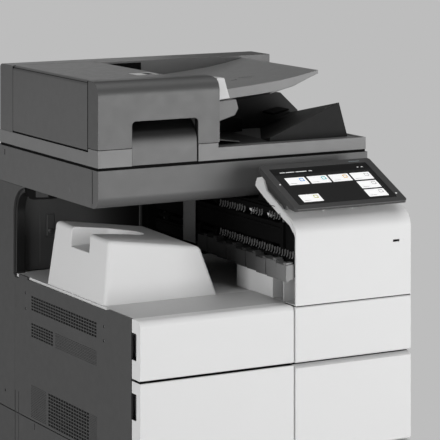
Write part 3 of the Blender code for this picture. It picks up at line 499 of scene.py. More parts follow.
obj("feeder_base", band, M_BAND, "adf_lid", 0.0009, 2, replaces=("adf_base",))
# dark gasket in the slit between the lid and the scanner, and a dark leaf in the lever slot
ring = cut(box(-0.3060, 0.3175, -0.1595, 0.3220, 1.0636, 1.0694),
           box(-0.2900, 0.3000, -0.1450, 0.3100, 1.05, 1.08))
obj("feeder_gasket", ring, M_DEEP, "adf_lid", 0.0003, 1)
obj("feeder_lever_slot", box(-0.0848, -0.0818, SCAN_FRONT + 0.0030, SCAN_FRONT + 0.0110, 1.0690, 1.1600),
    M_DEEP, "adf_lid", 0.0)

back = prism(rounded([(0.2560, 1.0968), (0.2560, TOP_Z), (0.3270, TOP_Z), (0.3270, 1.0968)],
                     {2: 0.018}, 12), "x", -HALF_W, -0.1180)
back = join(back, prism(rounded([(0.2260, 1.0968), (0.2260, TOP_Z), (0.3270, TOP_Z),
                                 (0.3270, 1.0968)], {2: 0.018}, 12), "x", -0.1190, 0.3090))
back = both(back, prism(rounded([(-HALF_W, 0.20), (0.3090, 0.20), (0.3090, 0.3270), (-HALF_W, 0.3270)],
                                {2: 0.010, 3: 0.006}, 8), "z", 1.05, 1.30))
# shallow sunk field on the back face
back = cut(back, box(-0.250, 0.250, 0.3258, 0.34, 1.1250, 1.2100))
obj("feeder_rear_cover", back, M_TOP, "adf_lid", 0.0010, 2, replaces=("adf_rear_cover",))

lid = prism([(-0.3075, 1.1012), (-0.3050, 1.0986), (-0.3035, 1.0986), (-0.3035, 1.2300),
             (-0.2985, 1.2350), (-0.1125, 1.2350), (-0.1125, 1.2380), (-0.1140, TOP_Z)]
            + arc(-0.2975, TOP_Z - 0.0100, 0.0100, 90, 180, 10), "y", -0.1122, 0.2546)
lid = cut(lid, prism(rounded([(-0.1700, -0.0640), (-0.1180, -0.0640), (-0.1180, -0.0140),
                              (-0.1700, -0.0140)], 0.0050, 6), "z", 1.2375, 1.2500))
obj("feeder_top_cover", lid, M_TOP, "adf_feed_cover", 0.0008, 2, replaces=("adf_feed_cover",))
inlay = prism(rounded([(-0.1693, -0.0633), (-0.1187, -0.0633), (-0.1187, -0.0147), (-0.1693, -0.0147)],
                      0.0045, 6), "z", 1.2370, 1.2386)
inlay = cut(inlay, prism(rounded([(-0.1440, -0.0560), (-0.1250, -0.0560), (-0.1250, -0.0230), (-0.1440, -0.0230)],
                                 0.0030, 5), "z", 1.2376, 1.25))
obj("feeder_top_inlay", inlay, M_LIGHT, "adf_feed_cover", 0.0004, 2)
obj("feeder_top_window", prism(rounded([(-0.1436, -0.0556), (-0.1254, -0.0556), (-0.1254, -0.0234),
                                        (-0.1436, -0.0234)], 0.0028, 5), "z", 1.2374, 1.2382),
    M_DEEP, "adf_feed_cover", 0.0)
obj("feeder_seam_seals", together(box(-0.3076, -0.1140, -0.1146, -0.1117, 1.0970, TOP_Z - 0.0003),
                                  box(-0.3072, -0.1200, 0.2548, 0.2558, 1.0970, TOP_Z - 0.0030),
                                  box(-0.3066, -0.3042, -0.1120, 0.2545, 1.0964, 1.0984)),
    M_DEEP, "adf_lid", 0.0)
obj("feeder_cover_seam", box(-0.3060, -0.3048, -0.1130, 0.2540, 1.2339, 1.2353), M_DEEP, "adf_feed_cover", 0.0)
obj("scanner_side_seam", box(-0.3078, -0.3070, -0.1358, -0.1348, 0.9960, 1.0610), M_DEEP, "chassis", 0.0)
# ribs under the opened cover
ribs = [box(-0.2980, -0.1300, y - 0.0008, y + 0.0008, 1.2150, 1.2352) for y in
        (-0.09, -0.045, 0.0, 0.045, 0.09, 0.135, 0.18, 0.225)]
obj("feeder_top_ribs", together(*ribs), M_BLACK, "adf_feed_cover", 0.0003, 1)

# feeding mechanism: block with guide ribs, pick-up arm, rollers
mech = box(-0.3000, -0.0400, -0.1130, 0.2550, 1.0966, 1.1500)
mech = cut(mech, prism(rounded([(-0.2950, 1.1200), (-0.2950, 1.20), (-0.1200, 1.20), (-0.1200, 1.1420),
                                (-0.1750, 1.1200)], {4: 0.010}, 6), "y", -0.1080, 0.2500))
obj("feeder_mechanism", mech, M_BLACK, "adf_lid", 0.0008, 2)
combs = [box(-0.2800, -0.1300, y - 0.0012, y + 0.0012, 1.1150, 1.1560 if i % 2 else 1.1500)
         for i, y in enumerate([-0.100 + 0.0117 * k for k in range(30)])]
obj("feeder_guide_ribs", together(*combs), M_BLACK, "adf_lid", 0.0003, 1)
obj("feeder_pick_arm", prism(rounded([(-0.2050, 1.1880), (-0.1500, 1.2140), (-0.0980, 1.2060),
                                      (-0.0940, 1.1980), (-0.1500, 1.2040), (-0.1980, 1.1800)],
                                     {1: 0.006, 2: 0.003}, 5), "y", 0.0300, 0.0950),
    M_WALL, "adf_lid", 0.0008, 2)
# black plate at the bottom of the tray opening: painted shadow of the throat
obj("feeder_throat_painted_shadow", box(-0.1100, -0.0380, 0.0900, 0.2240, 1.1560, 1.1580), M_DEEP, "adf_lid", 0.0)
bits = [turned([(0.0030, y), (0.0075, y + 0.0004), (0.0075, y + 0.0136), (0.0030, y + 0.014)], "y",
               (-0.0760, 0, 1.1760), 24) for y in (0.112, 0.142, 0.172)]
obj("feeder_throat_rollers", together(rod("y", (-0.0760, 0, 1.1760), 0.0028, 0.1000, 0.2150, 16), *bits), M_RAIL,
    "adf_lid", 0.0)
obj("feeder_throat_wall", box(-0.1150, -0.0160, 0.2249, 0.2259, 1.1600, 1.2352), M_DEEP, "adf_lid", 0.0)
obj("feeder_throat_fins", together(*[box(x, x + 0.0016, 0.2214, 0.2250, 1.1700, 1.2240) for x in
                                     (-0.1050, -0.0900, -0.0740, -0.0560)]), M_RAIL, "adf_lid", 0.0003, 1)
obj("feeder_throat_arm", together(box(-0.0960, -0.0560, 0.1900, 0.1930, 1.1660, 1.1880),
                                  box(-0.0990, -0.0900, 0.1300, 0.1900, 1.1700, 1.1740)), M_RAIL, "adf_lid",
    0.0)
obj("feeder_pick_roller", turned([(0.004, 0.040), (0.0085, 0.0405), (0.0085, 0.0845), (0.004, 0.085)],
                                 "y", (-0.1320, 0, 1.1990), 32), M_RUBBER, "adf_lid", 0.0005, 2)
wheel = turned([(0.0040, -0.1172), (0.0040, -0.1050), (0.0140, -0.1045), (0.0160, -0.0850),
                (0.0160, 0.2250), (0.0140, 0.2445), (0.0040, 0.2450), (0.0040, 0.2592)],
               "y", (ROLLER[0], 0, ROLLER[2]), 48)
grooves = [turned([(0.0145, y), (0.03, y), (0.03, y + 0.010), (0.0145, y + 0.010)], "y",
                  (ROLLER[0], 0, ROLLER[2]), 48) for y in (-0.055, -0.010, 0.075, 0.120, 0.165)]
grooves = []
obj("feeder_roller", wheel, M_RUBBER, "adf_feed_roller", 0.0005, 2, replaces=("adf_feed_roller",))

# light strip and rounded stop at the right end of the front cover
obj("feeder_light_strip", prism([(-0.0325, 1.2345), (-0.0150, 1.2335), (-0.0080, 1.2100),
                                 (-0.0020, 1.1915), (-0.0325, 1.1880)], "y", -0.1480, -0.1150),
    M_LIGHT, "adf_lid", 0.0012, 3)
obj("feeder_corner_block", prism(rounded([(-0.0325, 1.1870), (0.0105, 1.1895), (0.0165, 1.1700),
                                          (0.0080, 1.1560), (-0.0325, 1.1450)],
                                         {1: 0.002, 2: 0.006, 3: 0.008}, 6), "y", -0.1510, -0.1150),
    M_TOP, "adf_lid", 0.0012, 3)

# document tray with a lipped front edge, extension plate below and arrow relief
top = [(-0.1135, 1.1830), (0.0260, 1.2055), (0.0870, 1.2108), (0.1470, 1.2170), (0.1950, 1.2250),
       (0.2385, 1.2340)]
tray = prism([(-0.1135, 1.1700), (0.0260, 1.1850), (0.1007, 1.1909), (0.1450, 1.1958), (0.1900, 1.2085),
              (0.2385, 1.2268)] + top[::-1],
             "y", -0.1000, 0.2250)
tray = cut(tray,
           prism([(-0.1050, 1.15), (0.1480, 1.1700), (0.2300, 1.2040), (0.2300, 1.2294),
                  (0.1470, 1.2138), (0.0260, 1.2022), (-0.1050, 1.1810)], "y", -0.0960, 0.2210),
           box(0.0850, 0.0990, -0.0010, 0.0070, 1.18, 1.24),
           box(-0.1060, -0.0420, 0.0980, 0.2190, 1.14, 1.24),
           *[box(-0.0700, -0.0640, y, y + 0.0740, 1.16, 1.25) for y in (-0.0860, 0.1370)])
obj("feeder_document_tray", tray, M_TRAY, "document_tray", 0.0008, 2, replaces=("document_tray",))


def on_tray(x):
    for (x0, z0), (x1, z1) in zip(top, top[1:]):
        if x <= x1:
            return z0 + (z1 - z0) * (x - x0) / (x1 - x0)
    return top[-1][1]


def decal(pts, up, thick):
    """A thin relief that follows the tray's surface; pts are (x, y)."""
    bm = bmesh.new()
    lo = [bm.verts.new((x, y, on_tray(x) - 0.0004)) for x, y in pts]
    hi = [bm.verts.new((x, y, on_tray(x) + up)) for x, y in pts]
    n = len(pts)
    bm.faces.new(lo[::-1])
    bm.faces.new(hi)
    for k in range(n):
        bm.faces.new((lo[k], lo[(k + 1) % n], hi[(k + 1) % n], hi[k]))
    return to_mesh(bm)


tri = [(0.112, 0.020), (0.146, 0.010), (0.124, -0.012)]
cx, cy = sum(p[0] for p in tri) / 3, sum(p[1] for p in tri) / 3
inner_tri = [(cx + (x - cx) * 0.70, cy + (y - cy) * 0.70) for x, y in tri]
obj("feeder_tray_arrow", cut(decal(tri, 0.0007, 0), decal([(x, y) for x, y in inner_tri], 0.0030, 0)),
    M_TRAY, "document_tray", 0.0002, 1)
obj("feeder_tray_extension", prism([(0.1300, 1.1905), (0.1850, 1.2035), (0.2260, 1.2195), (0.2260, 1.2170),
                                    (0.1850, 1.2005), (0.1300, 1.1880)], "y", -0.0850, 0.1600),
    M_TRAY, "document_tray", 0.0006, 2)
keep("paper_guide_front", M_TRAY, 0.0006)
keep("paper_guide_rear", M_TRAY, 0.0006)

# paper-exit ramp and the slanted wall behind it
def sheared(corners, height, top_z):
    """A block standing on corners (x, y) whose underside follows height(x, y)."""
    bm = bmesh.new()
    lo = [bm.verts.new((x, y, height(x, y))) for x, y in corners]
    hi = [bm.verts.new((x, y, top_z)) for x, y in corners]
    bm.faces.new(lo[::-1])
    bm.faces.new(hi)
    for k in range(len(lo)):
        j = (k + 1) % len(lo)
        bm.faces.new((lo[k], lo[j], hi[j], hi[k]))
    return to_mesh(bm)


ramp = prism([(0.1090, 1.0925), (0.1090, 1.1010), (0.2777, 1.1655), (0.2990, 1.0925)], "y", -0.1200, 0.1900)
ramp = cut(ramp, sheared(((0.05, -0.14), (0.32, -0.14), (0.32, 0.22), (0.05, 0.22)),
                         lambda x, y: 1.1655 + 0.38235 * (x - 0.2777) - 0.2172 * (y + 0.1200), 1.30))
obj("feeder_exit_ramp", ramp, M_RAMP, "adf_lid", 0.0008, 2, replaces=("adf_exit_ramp",))
# hood at the back of the paper exit, falling to the right
obj("feeder_exit_hood", prism(rounded([(0.1000, 1.0925), (0.1000, 1.1500), (0.2500, 1.1680), (0.2640, 1.1665),
                                       (0.3080, 1.1260), (0.3020, 1.0925)], {3: 0.004, 4: 0.003}, 5),
                              "y", 0.1000, 0.2240),
    M_HOOD_SHADED, "adf_lid", 0.0012, 2)
obj("feeder_exit_wall", prism([(-0.0300, 1.0925), (-0.0300, 1.1550), (0.0600, 1.1400), (0.1450, 1.1200),
                               (0.1450, 1.0925)], "y", 0.0600, 0.2200),
    M_DEEP, "adf_lid", 0.0010, 2)
# black plate over the sunk paper-exit floor: painted shade
obj("feeder_exit_floor_painted_shade", box(-0.0340, 0.1150, -0.1200, 0.2190, 1.0924, 1.0936), M_BLACK, "adf_lid",
    0.0003, 1)
obj("feeder_exit_flap", prism(rounded([(0.2160, 1.1245), (0.2560, 1.1330), (0.2560, 1.1365), (0.2160, 1.1290)],
                                      0.0012, 3), "y", 0.0500, 0.0950),
    M_DEEP, "adf_lid", 0.0005, 1)
exit_bits = [turned([(0.0030, y), (0.0085, y + 0.0005), (0.0085, y + 0.0175), (0.0030, y + 0.018)], "y",
                    (-0.0240, 0, 1.1230), 24) for y in (-0.100, -0.045, 0.010, 0.065)]
obj("feeder_exit_pinch", together(*exit_bits), M_TEETH, "adf_lid", 0.0)
obj("feeder_exit_lip", prism([(-0.0320, 1.1080), (0.0150, 1.1010), (0.0420, 1.0975), (0.0420, 1.0950),
                              (-0.0320, 1.1040)], "y", -0.1120, 0.0560),
    M_BLACK, "adf_lid", 0.0006, 2)
keep("platen_pad", M_PAD, 0.0015, 3)

# =====================================================================  scanner
scan = prism(rounded([(SCAN_FRONT, 1.0634), (SCAN_FRONT, 0.9872), (BACK_Y, 0.9872), (BACK_Y, 1.0634)],
                     {1: 0.0235}, 14), "x", -HALF_W, SCAN_RIGHT)
scan = cut(scan, box(-0.2950, 0.3100, -0.1450, 0.2700, 0.9930, 1.0560),
           box(-0.2350, 0.2150, -0.1150, 0.1950, 1.05, 1.07),
           box(-0.2450, 0.2250, -0.1250, 0.2050, 1.0603, 1.07),
           # side seam behind the front bezel, and the small side slots
           box(-0.31, -HALF_W + 0.0012, -0.1332, -0.1320, 0.98, 1.07),
           box(-0.31, -HALF_W + 0.0040, 0.2960, 0.3010, 1.0440, 1.0560),
           box(-0.31, -HALF_W + 0.0008, 0.0970, 0.1015, 1.0055, 1.0210),
           box(-0.31, -HALF_W + 0.0008, -0.0335, -0.0290, 1.0045, 1.0210),
           box(0.3215, 0.33, -0.1332, -0.1320, 0.98, 1.07))
for lx in (-0.2350, 0.1950):
    lug = join(rod("x", (lx, 0.3355, 1.0750), 0.0070, 0.0, 0.0500, 32),
               box(lx, lx + 0.050, 0.3295, 0.3415, 1.0600, 1.0750))
    scan = join(scan, join(lug, rod("x", (lx, 0.3355, 1.0750), 0.0028, 0.0490, 0.0740, 24)))
obj("scanner_body", scan, M_SCAN, "chassis", 0.0010, 2, replaces=("scanner_housing",))
keep("platen_glass", M_GLASS, 0.0005, 2)
keep("scan_carriage", M_BLACK, 0.0010, 2)
obj("scan_lamp", box(-0.2720, -0.2660, -0.1200, 0.2420, 1.0302, 1.0330), M_LIGHT, "scan_carriage",
    0.0008, 2)
obj("scan_strip_scale", together(box(-0.2440, -0.2380, -0.1230, 0.2030, 1.06375, 1.0643)), M_LIGHT,
    "chassis", 0.0002, 1)

# =====================================================================  side and rear covers
left = prism([(SIDE_Y, 0.5050), (0.2438, 0.5050), (0.2438, 0.7995), (0.1806, 0.7995), (0.1790, 0.7940),
              (-0.1900, 0.7940), (-0.2055, 0.7990), (SIDE_Y, 0.7990)], "x", -HALF_W, -HALF_W + 0.004)
cells, lines = [], []


def grille(z_top, z_bot, rows, y0, y1, cols, open0, open1):
    pitch_z = (z_top - z_bot) / rows
    pitch_y = (y1 - y0) / cols
    for r in range(rows):
        z1 = z_top - pitch_z * r - 0.0010
        z0 = z1 - pitch_z + 0.0022
        spans = []
        for c in range(cols):
            a = y0 + pitch_y * c + 0.0010
            b = a + pitch_y - 0.0020
            if a >= open0 - 0.003 and b <= open1 + 0.003:
                cells.append(box(-0.33, -0.29, a, b, z0, z1))
        if open0 > y0 + 0.01:
            spans.append((y0, open0 - 0.0045))
        if open1 < y1 - 0.01:
            spans.append((open1 + 0.0045, y1))
        for a, b in spans:
            lines.append(box(-0.33, -HALF_W + 0.0009, a, b, z0, z0 + 0.0012))
            lines.append(box(-0.33, -HALF_W + 0.0009, a, b, z0 + 0.0034, z0 + 0.0046))


grille(0.7650, 0.7330, 5, -0.154, 0.160, 26, -0.154, 0.160)
grille(0.7085, 0.6775, 5, -0.154, 0.160, 26, 0.044, 0.160)
grille(0.5784, 0.5095, 10, -0.156, 0.160, 26, -0.117, 0.080)
holes = [rod("x", (-HALF_W, y, 1.064 + z), 0.0030, -0.02, 0.0022, 20) for y, z in
         ((0.189, -0.299), (0.189, -0.332), (-0.186, -0.302), (-0.186, -0.330))]
left = cut(left, together(*cells), together(*lines), together(*holes),
           box(-0.32, -0.29, 0.2240, 0.26, 0.7900, 0.81),
           box(-0.32, -HALF_W + 0.0022, 0.2238, 0.2262, 0.50, 0.5500),
           box(-0.32, -HALF_W + 0.0022, 0.2410, 0.2450, 0.50, 0.5500))
obj("side_cover_upper", left, M_SIDE, "chassis", 0.0004, 1, replaces=("left_upper_cover",))
obj("side_cover_liner", together(box(-0.3030, -0.3022, -0.2000, 0.2000, 0.5060, 0.7880),
                                 box(-0.3030, -0.3022, -0.2150, -0.0450, 0.3150, 0.3650)), M_DEEP, "chassis", 0.0)
obj("side_cover_screws", together(*[
    turned([(0.0001, -0.0003), (0.0020, -0.0003), (0.0024, 0.0003), (0.0024, 0.0010), (0.0001, 0.0010)], "x",
           (-HALF_W + 0.0016, y, 1.064 + z), 16, cap=False) for y, z in
    ((0.189, -0.299), (0.189, -0.332), (-0.186, -0.302), (-0.186, -0.330))]),
    M_STEEL, "chassis", 0.0)
low = box(-HALF_W, -HALF_W + 0.004, SIDE_Y, 0.3395, 0.2852, 0.5030)
low = cut(low, box(-0.32, -HALF_W + 0.0022, 0.2238, 0.2262, 0.30, 0.51),
          box(-0.32, -HALF_W + 0.0022, 0.2410, 0.2450, 0.30, 0.51),
          box(-0.32, -0.29, 0.1420, 0.1450, 0.4860, 0.4990),
          *[box(-0.32, -0.29, y, y + 0.010, 0.325, 0.355) for y in [-0.20 + 0.016 * k for k in range(9)]])
obj("side_cover_lower", low, M_SIDE, "chassis", 0.0005, 1, replaces=("left_lower_cover",))

col = prism([(0.2450, 0.5050), (0.2450, 0.7925), (0.2524, 0.7965)]
            + arc(0.1940, 0.9260, 0.0584, 0, 84, 14)
            + [(0.1900, 0.9868), (0.3395, 0.9868), (0.3395, 0.5050)], "x", -HALF_W, -0.2795)
col = cut(col, prism([(0.2564, 0.49)] + arc(0.1940, 0.9260, 0.0624, 0, 72, 14)
                     + [(0.2300, 1.0), (0.36, 1.0), (0.36, 0.49)], "x", -HALF_W + 0.004, -0.27),
          rod("x", (-HALF_W, 0.295, 0.539), 0.0030, -0.02, 0.0030, 20))
obj("rear_left_column_cover", col, M_COLUMN, "chassis", 0.0010, 2, replaces=("rear_left_column",))
# black frame edge inside the column and the black hinge bracket under the scanner
obj("column_inner_edge", prism([(0.2462, 0.8000), (0.2518, 0.8000)] + arc(0.1940, 0.9260, 0.0578, 0, 80, 12)
                               + arc(0.1940, 0.9260, 0.0500, 80, 0, 12) + [(0.2440, 0.9260), (0.2440, 0.8010)][:1],
                               "x", -0.3030, -0.2830), M_BLACK, "chassis", 0.0008, 2)

obj("column_bracket", prism(rounded([(0.0792, 0.9868), (0.0792, 0.9770), (0.1655, 0.9640), (0.1850, 0.9640),
                                     (0.2250, 0.9868)], {1: 0.004, 2: 0.006, 3: 0.006}, 5), "x", -0.3010, -0.2840),
    M_DEEP, "chassis", 0.0010, 2)
obj("column_bracket_cap", prism(rounded([(0.0850, 0.9868), (0.0850, 0.9800), (0.1450, 0.9720), (0.1450, 0.9868)], 0.002, 4),
                                "x", -0.3040, -0.3000), M_BLACK, "chassis", 0.0010, 2)

rearp = box(-HALF_W, HALF_W, 0.3400, BACK_Y, 0.2852, 0.9866)
slots = []
for k in range(7):
    z = 0.880 - 0.016 * k
    for i in range(6):
        slots.append(box(-0.222 + 0.031 * i, -0.222 + 0.031 * i + 0.027, 0.33, 0.35, z - 0.007, z))
        slots.append(box(0.058 + 0.031 * i, 0.058 + 0.031 * i + 0.027, 0.33, 0.35, z - 0.307, z - 0.300))
rearp = cut(rearp, together(*slots),
            box(-0.290, 0.290, 0.3432, 0.35, 0.3180, 0.3192), box(-0.290, 0.290, 0.3432, 0.35, 0.6400, 0.6412),
            box(0.0, 0.0012, 0.3432, 0.35, 0.6412, 0.9866),
            box(-0.260, -0.200, 0.3405, 0.35, 0.345, 0.385), box(0.170, 0.262, 0.3405, 0.35, 0.720, 0.7620))
obj("back_cover", rearp, M_SIDE, "chassis", 0.0005, 1, replaces=("rear_cover",))
obj("power_inlet", cut(box(-0.257, -0.203, 0.3395, 0.3425, 0.348, 0.382),
                       box(-0.247, -0.213, 0.3410, 0.35, 0.3545, 0.3755)), M_BLACK, "chassis", 0.0008, 2)
obj("power_inlet_pins", together(*[box(x - 0.001, x + 0.001, 0.3400, 0.3422, 0.3625, 0.3695) for x in
                                   (-0.239, -0.230, -0.221)]), M_STEEL, "chassis", 0.0003, 1)
obj("data_ports", cut(box(0.172, 0.260, 0.3395, 0.3425, 0.722, 0.760),
                      box(0.178, 0.193, 0.3408, 0.35, 0.733, 0.749), box(0.202, 0.208, 0.3408, 0.35, 0.733, 0.749),
                      box(0.214, 0.220, 0.3408, 0.35, 0.733, 0.749), box(0.230, 0.254, 0.3408, 0.35, 0.735, 0.747)),
    M_STEEL, "chassis", 0.0004, 1)
screws = []
for x in (-0.285, 0.0300, 0.285):
    for z in (0.300, 0.625, 0.655, 0.970):
        screws.append(turned([(0.0001, 0.0010), (0.0034, 0.0008), (0.0042, 0.0001), (0.0042, -0.0010),
                              (0.0001, -0.0010)], "y", (x, BACK_Y, z), 20, cap=False))
obj("back_screws", together(*screws), M_STEEL, "chassis", 0.0)

right = prism([(SIDE_Y, 0.2852), (0.3395, 0.2852), (0.3395, 0.9866), (-0.3005, 0.9866),
               (-0.3005, 0.7985), (0.2115, 0.7985), (0.2115, 0.5050), (SIDE_Y, 0.5036)],
              "x", HALF_W - 0.004, HALF_W)
cells = []
for r in range(5):
    for c in range(12):
        cells.append(box(0.29, 0.32, -0.05 + 0.0125 * c, -0.05 + 0.0125 * c + 0.0100, 0.860 + 0.0075 * r,
                         0.860 + 0.0075 * r + 0.0052))
for r in range(5):
    for c in range(12):
        cells.append(box(0.29, 0.32, 0.05 + 0.0125 * c, 0.05 + 0.0125 * c + 0.0100, 0.360 + 0.0075 * r,
                         0.360 + 0.0075 * r + 0.0052))
right = cut(right, prism([(-0.3100, 0.9675), (-0.3020, 0.9712), (-0.2690, 0.9865), (-0.2690, 0.9950), (-0.3100, 0.9950)],
                         "x", 0.3000, 0.3100), together(*cells), box(HALF_W - 0.0012, 0.32, 0.2200, 0.2212, 0.28, 0.99),
            box(HALF_W - 0.0012, 0.32, -0.31, 0.2200, 0.3950, 0.3962))
obj("right_side_cover", right, M_SIDE, "chassis", 0.0005, 1, replaces=("right_cover",))

# =====================================================================  output cavity
wall = box(-0.2790, 0.2900, 0.2575, 0.2610, 0.7985, 0.9856)
wall = cut(wall, box(-0.2290, -0.2080, 0.25, 0.2588, 0.8650, 0.9200), box(-0.2440, -0.2430, 0.25, 0.2582, 0.79, 0.99),
           rod("y", (0.047, 0, 0.966), 0.0048, 0.25, 0.27), rod("y", (0.047, 0, 0.896), 0.0048, 0.25, 0.27))
obj("cavity_back", wall, M_BACKWALL_SHADED, "chassis", 0.0006, 2, replaces=("cavity_rear_wall",))
obj("cavity_latch", join(box(-0.2270, -0.2100, 0.2560, 0.2600, 0.8700, 0.9150),
                         rod("y", (-0.2185, 0, 0.8800), 0.0045, 0.2535, 0.2570, 20)),
    M_WALL, "chassis", 0.0010, 2)
obj("cavity_rails", together(box(-0.0050, 0.0010, 0.2520, 0.2572, 0.800, 0.985),
                             box(0.0555, 0.0600, 0.2540, 0.2572, 0.8750, 0.9010)),
    M_WALL, "chassis", 0.0006, 2)
# near-black sheet on the right of the cavity back wall: painted shade
obj("cavity_painted_shade_panel", box(0.0180, 0.2880, 0.2560, 0.2573, 0.7990, 0.9850), M_DEEP, "chassis", 0.0)
obj("cavity_frame_strip", together(box(0.0358, 0.0440, -0.2996, -0.2966, 0.8560, 0.9560),
                                   box(0.0350, 0.0357, -0.2996, -0.2860, 0.8560, 0.9560)),
    M_DEEP, "chassis", 0.0)


def wedge():
    """Stacking wedge with generously rounded top edges and corners."""
    bm = bmesh.new()

    def top_z(x, y):
        return 1.064 - 0.138 - 0.1395 * (x + 0.2855) + 0.078 * (y + 0.174)
    foot = [(-0.3000, -0.1735), (-0.0436, -0.1735), (-0.0700, 0.1000), (-0.3000, 0.1000)]
    crown = [(-0.2900, -0.1725), (-0.0826, -0.1725), (-0.1180, 0.0120), (-0.2900, 0.0760)]
    a = [bm.verts.new((x, y, 0.7972)) for x, y in foot]
    b = [bm.verts.new((x, y, top_z(x, y) - (0.0125 if y > 0.05 else 0.0))) for x, y in crown]
    bm.faces.new(a[::-1])
    bm.faces.new(b)
    for k in range(4):
        bm.faces.new((a[k], a[(k + 1) % 4], b[(k + 1) % 4], b[k]))
    bm.normal_update()
    sel = [e for e in bm.edges if not (e.verts[0] in a and e.verts[1] in a)]
    bmesh.ops.bevel(bm, geom=sel, offset=0.0085, segments=7, profile=0.5, affect="EDGES",
                    clamp_overlap=True)
    return to_mesh(bm)


def notch():
    """Finger scoop: open through the left face, running right and tapering off."""
    plan = rounded([(-0.34, -0.0900), (-0.1800, -0.0860), (-0.1560, -0.0700), (-0.1640, -0.0560), (-0.2150, -0.0200),
                    (-0.34, 0.0080)], {1: 0.014, 2: 0.008, 3: 0.008, 4: 0.03}, 7)
    me = prism(plan, "z", 0.8600, 0.9600)
    floor = prism([(-0.36, 0.8900), (-0.2880, 0.8910), (-0.2350, 0.8960), (-0.1700, 0.9035),
                   (-0.1540, 0.9080), (-0.15, 0.97), (-0.36, 0.97)], "y", -0.13, 0.03)
    return both(me, floor)


w = cut(wedge(), notch())
deck = join(box(-0.3025, 0.2780, -0.1736, 0.2446, 0.7905, 0.7968),
            box(-0.2785, 0.2780, 0.2400, 0.2570, 0.7905, 0.7968))
deck = join(deck, box(-0.3034, -0.3003, -0.1890, 0.1780, 0.7945, 0.7992))
obj("output_wedge", w, M_OFF, "chassis", 0.0016, 3, 40, replaces=("output_tray",))
obj("output_deck", deck, M_OFF, "chassis", 0.0006, 2)
obj("ledge", box(-0.3025, 0.0361, -0.3080, -0.1740, 0.7890, LEDGE_Z), M_LEDGE_SHADED, "chassis", 0.0008, 2,
    replaces=("front_ledge",))
keep("exit_guide_block", M_OFF, 0.0015, 3)

# exit unit: black housing, ribbed guides, roller shafts, lower fins
unit = prism([(0.0370, 0.9840), (0.0370, 0.9800), (0.0620, 0.9800), (0.0620, 0.9520), (0.0370, 0.9520),
              (0.0370, 0.9100), (0.0620, 0.9100), (0.0620, 0.8820), (0.0370, 0.8820), (0.0370, 0.8640),
              (0.0620, 0.8520), (0.2900, 0.8520), (0.2900, 0.9840)], "y", -0.2930, 0.2565)
unit = cut(unit, prism([(-0.3100, 0.9675), (-0.3020, 0.9712), (-0.2690, 0.9865), (-0.2690, 0.9950), (-0.3100, 0.9950)],
                       "x", 0.0300, 0.3050))
obj("exit_unit", unit, M_DEEP, "chassis", 0.0006, 1, replaces=("exit_unit_housing",))
DISCS = (-0.2325, -0.1600, -0.0866, -0.0132, 0.0602, 0.1336, 0.2070)


def tooth(y, z0, z1):
    """Hooked paper guide: a thin upright with a forward-curled lower end."""
    return prism([(0.0355, z1), (0.0335, z1 - 0.0010), (0.0335, z0 + 0.0040), (0.0310, z0), (0.0320, z0 - 0.0008),
                  (0.0350, z0 + 0.0030), (0.0365, z1 - 0.0020)], "y", y, y + 0.0016)


comb = []
for z0, z1, lift in ((0.9560, 0.9690, 0.018), (0.8955, 0.9090, -0.017)):
    for k in range(25 if z0 > 0.93 else 30):
        y = -0.0440 - 0.0102 * k
        d = -(y + 0.046) * lift - 0.0016 * (k % 3 == 1)
        if z0 > 0.93 and any(abs(y - c) < 0.0070 for c in DISCS[:2]):
            continue
        comb.append(tooth(y, z0 + d, z1 + d))
obj("exit_guide_ribs", together(*comb), M_TEETH, "chassis", 0.0)
steps = []
for z0, z1, x0 in ((0.9395, 0.9440, 0.0340), (0.9835, 0.9845, 0.0330), (0.8845, 0.8890, 0.0340),
                   (0.9668, 0.9790, 0.0352)):
    steps.append(box(x0, 0.0400, -0.2680 if z1 > 0.98 else -0.2920, 0.2560, z0, z1))
obj("exit_guide_rails", together(*steps), M_DEEP, "chassis", 0.0006, 1)
# upright steel rail at the back end of the unit, with its screw
obj("exit_rail", cut(box(0.0328, 0.0345, 0.0658, 0.1184, 0.8600, 0.9830),
                     rod("x", (0.0328, 0.0900, 0.9180), 0.0040, -0.002, 0.0012, 20)), M_RAIL, "chassis", 0.0005, 1)
obj("exit_rail_edges", together(box(0.0306, 0.0326, 0.0640, 0.0662, 0.8600, 0.9830),
                                box(0.0314, 0.0326, 0.1165, 0.1184, 0.8600, 0.9830),
                                turned([(0.0001, -0.0010), (0.0026, -0.0008), (0.0030, 0.0004), (0.0001, 0.0004)], "x",
                                       (0.0335, 0.0900, 0.9180), 16, cap=False)),
    M_TRAY, "chassis", 0.0)
fins = []
for k in range(9):
    y = -0.3415 + 0.0410 * k
    dz = 0.0340 * (max(y, -0.3005) + 0.1500)
    back = 0.0372 if y > -0.3005 else 0.0352
    tall = (0.0, 0.0032, -0.0010, 0.0022)[k % 4]
    fins.append(prism([(back, 0.8840 + dz + tall), (0.0175, 0.8825 + dz + tall),
                       (0.0165 + 0.0015 * (k % 2), 0.8580 + dz), (0.0185 + 0.0015 * (k % 2), 0.8500 + dz),
                       (back, 0.8560 + dz)], "y", y, y + 0.0398))
    fins.append(prism([(back, 0.8875 + dz + tall), (0.0200, 0.8868 + dz + tall), (0.0200, 0.8800 + dz),
                       (back, 0.8790 + dz)], "y", y + 0.004, y + 0.016))
obj("exit_lower_guide", together(*fins), M_FIN_LIT, "chassis", 0.0)
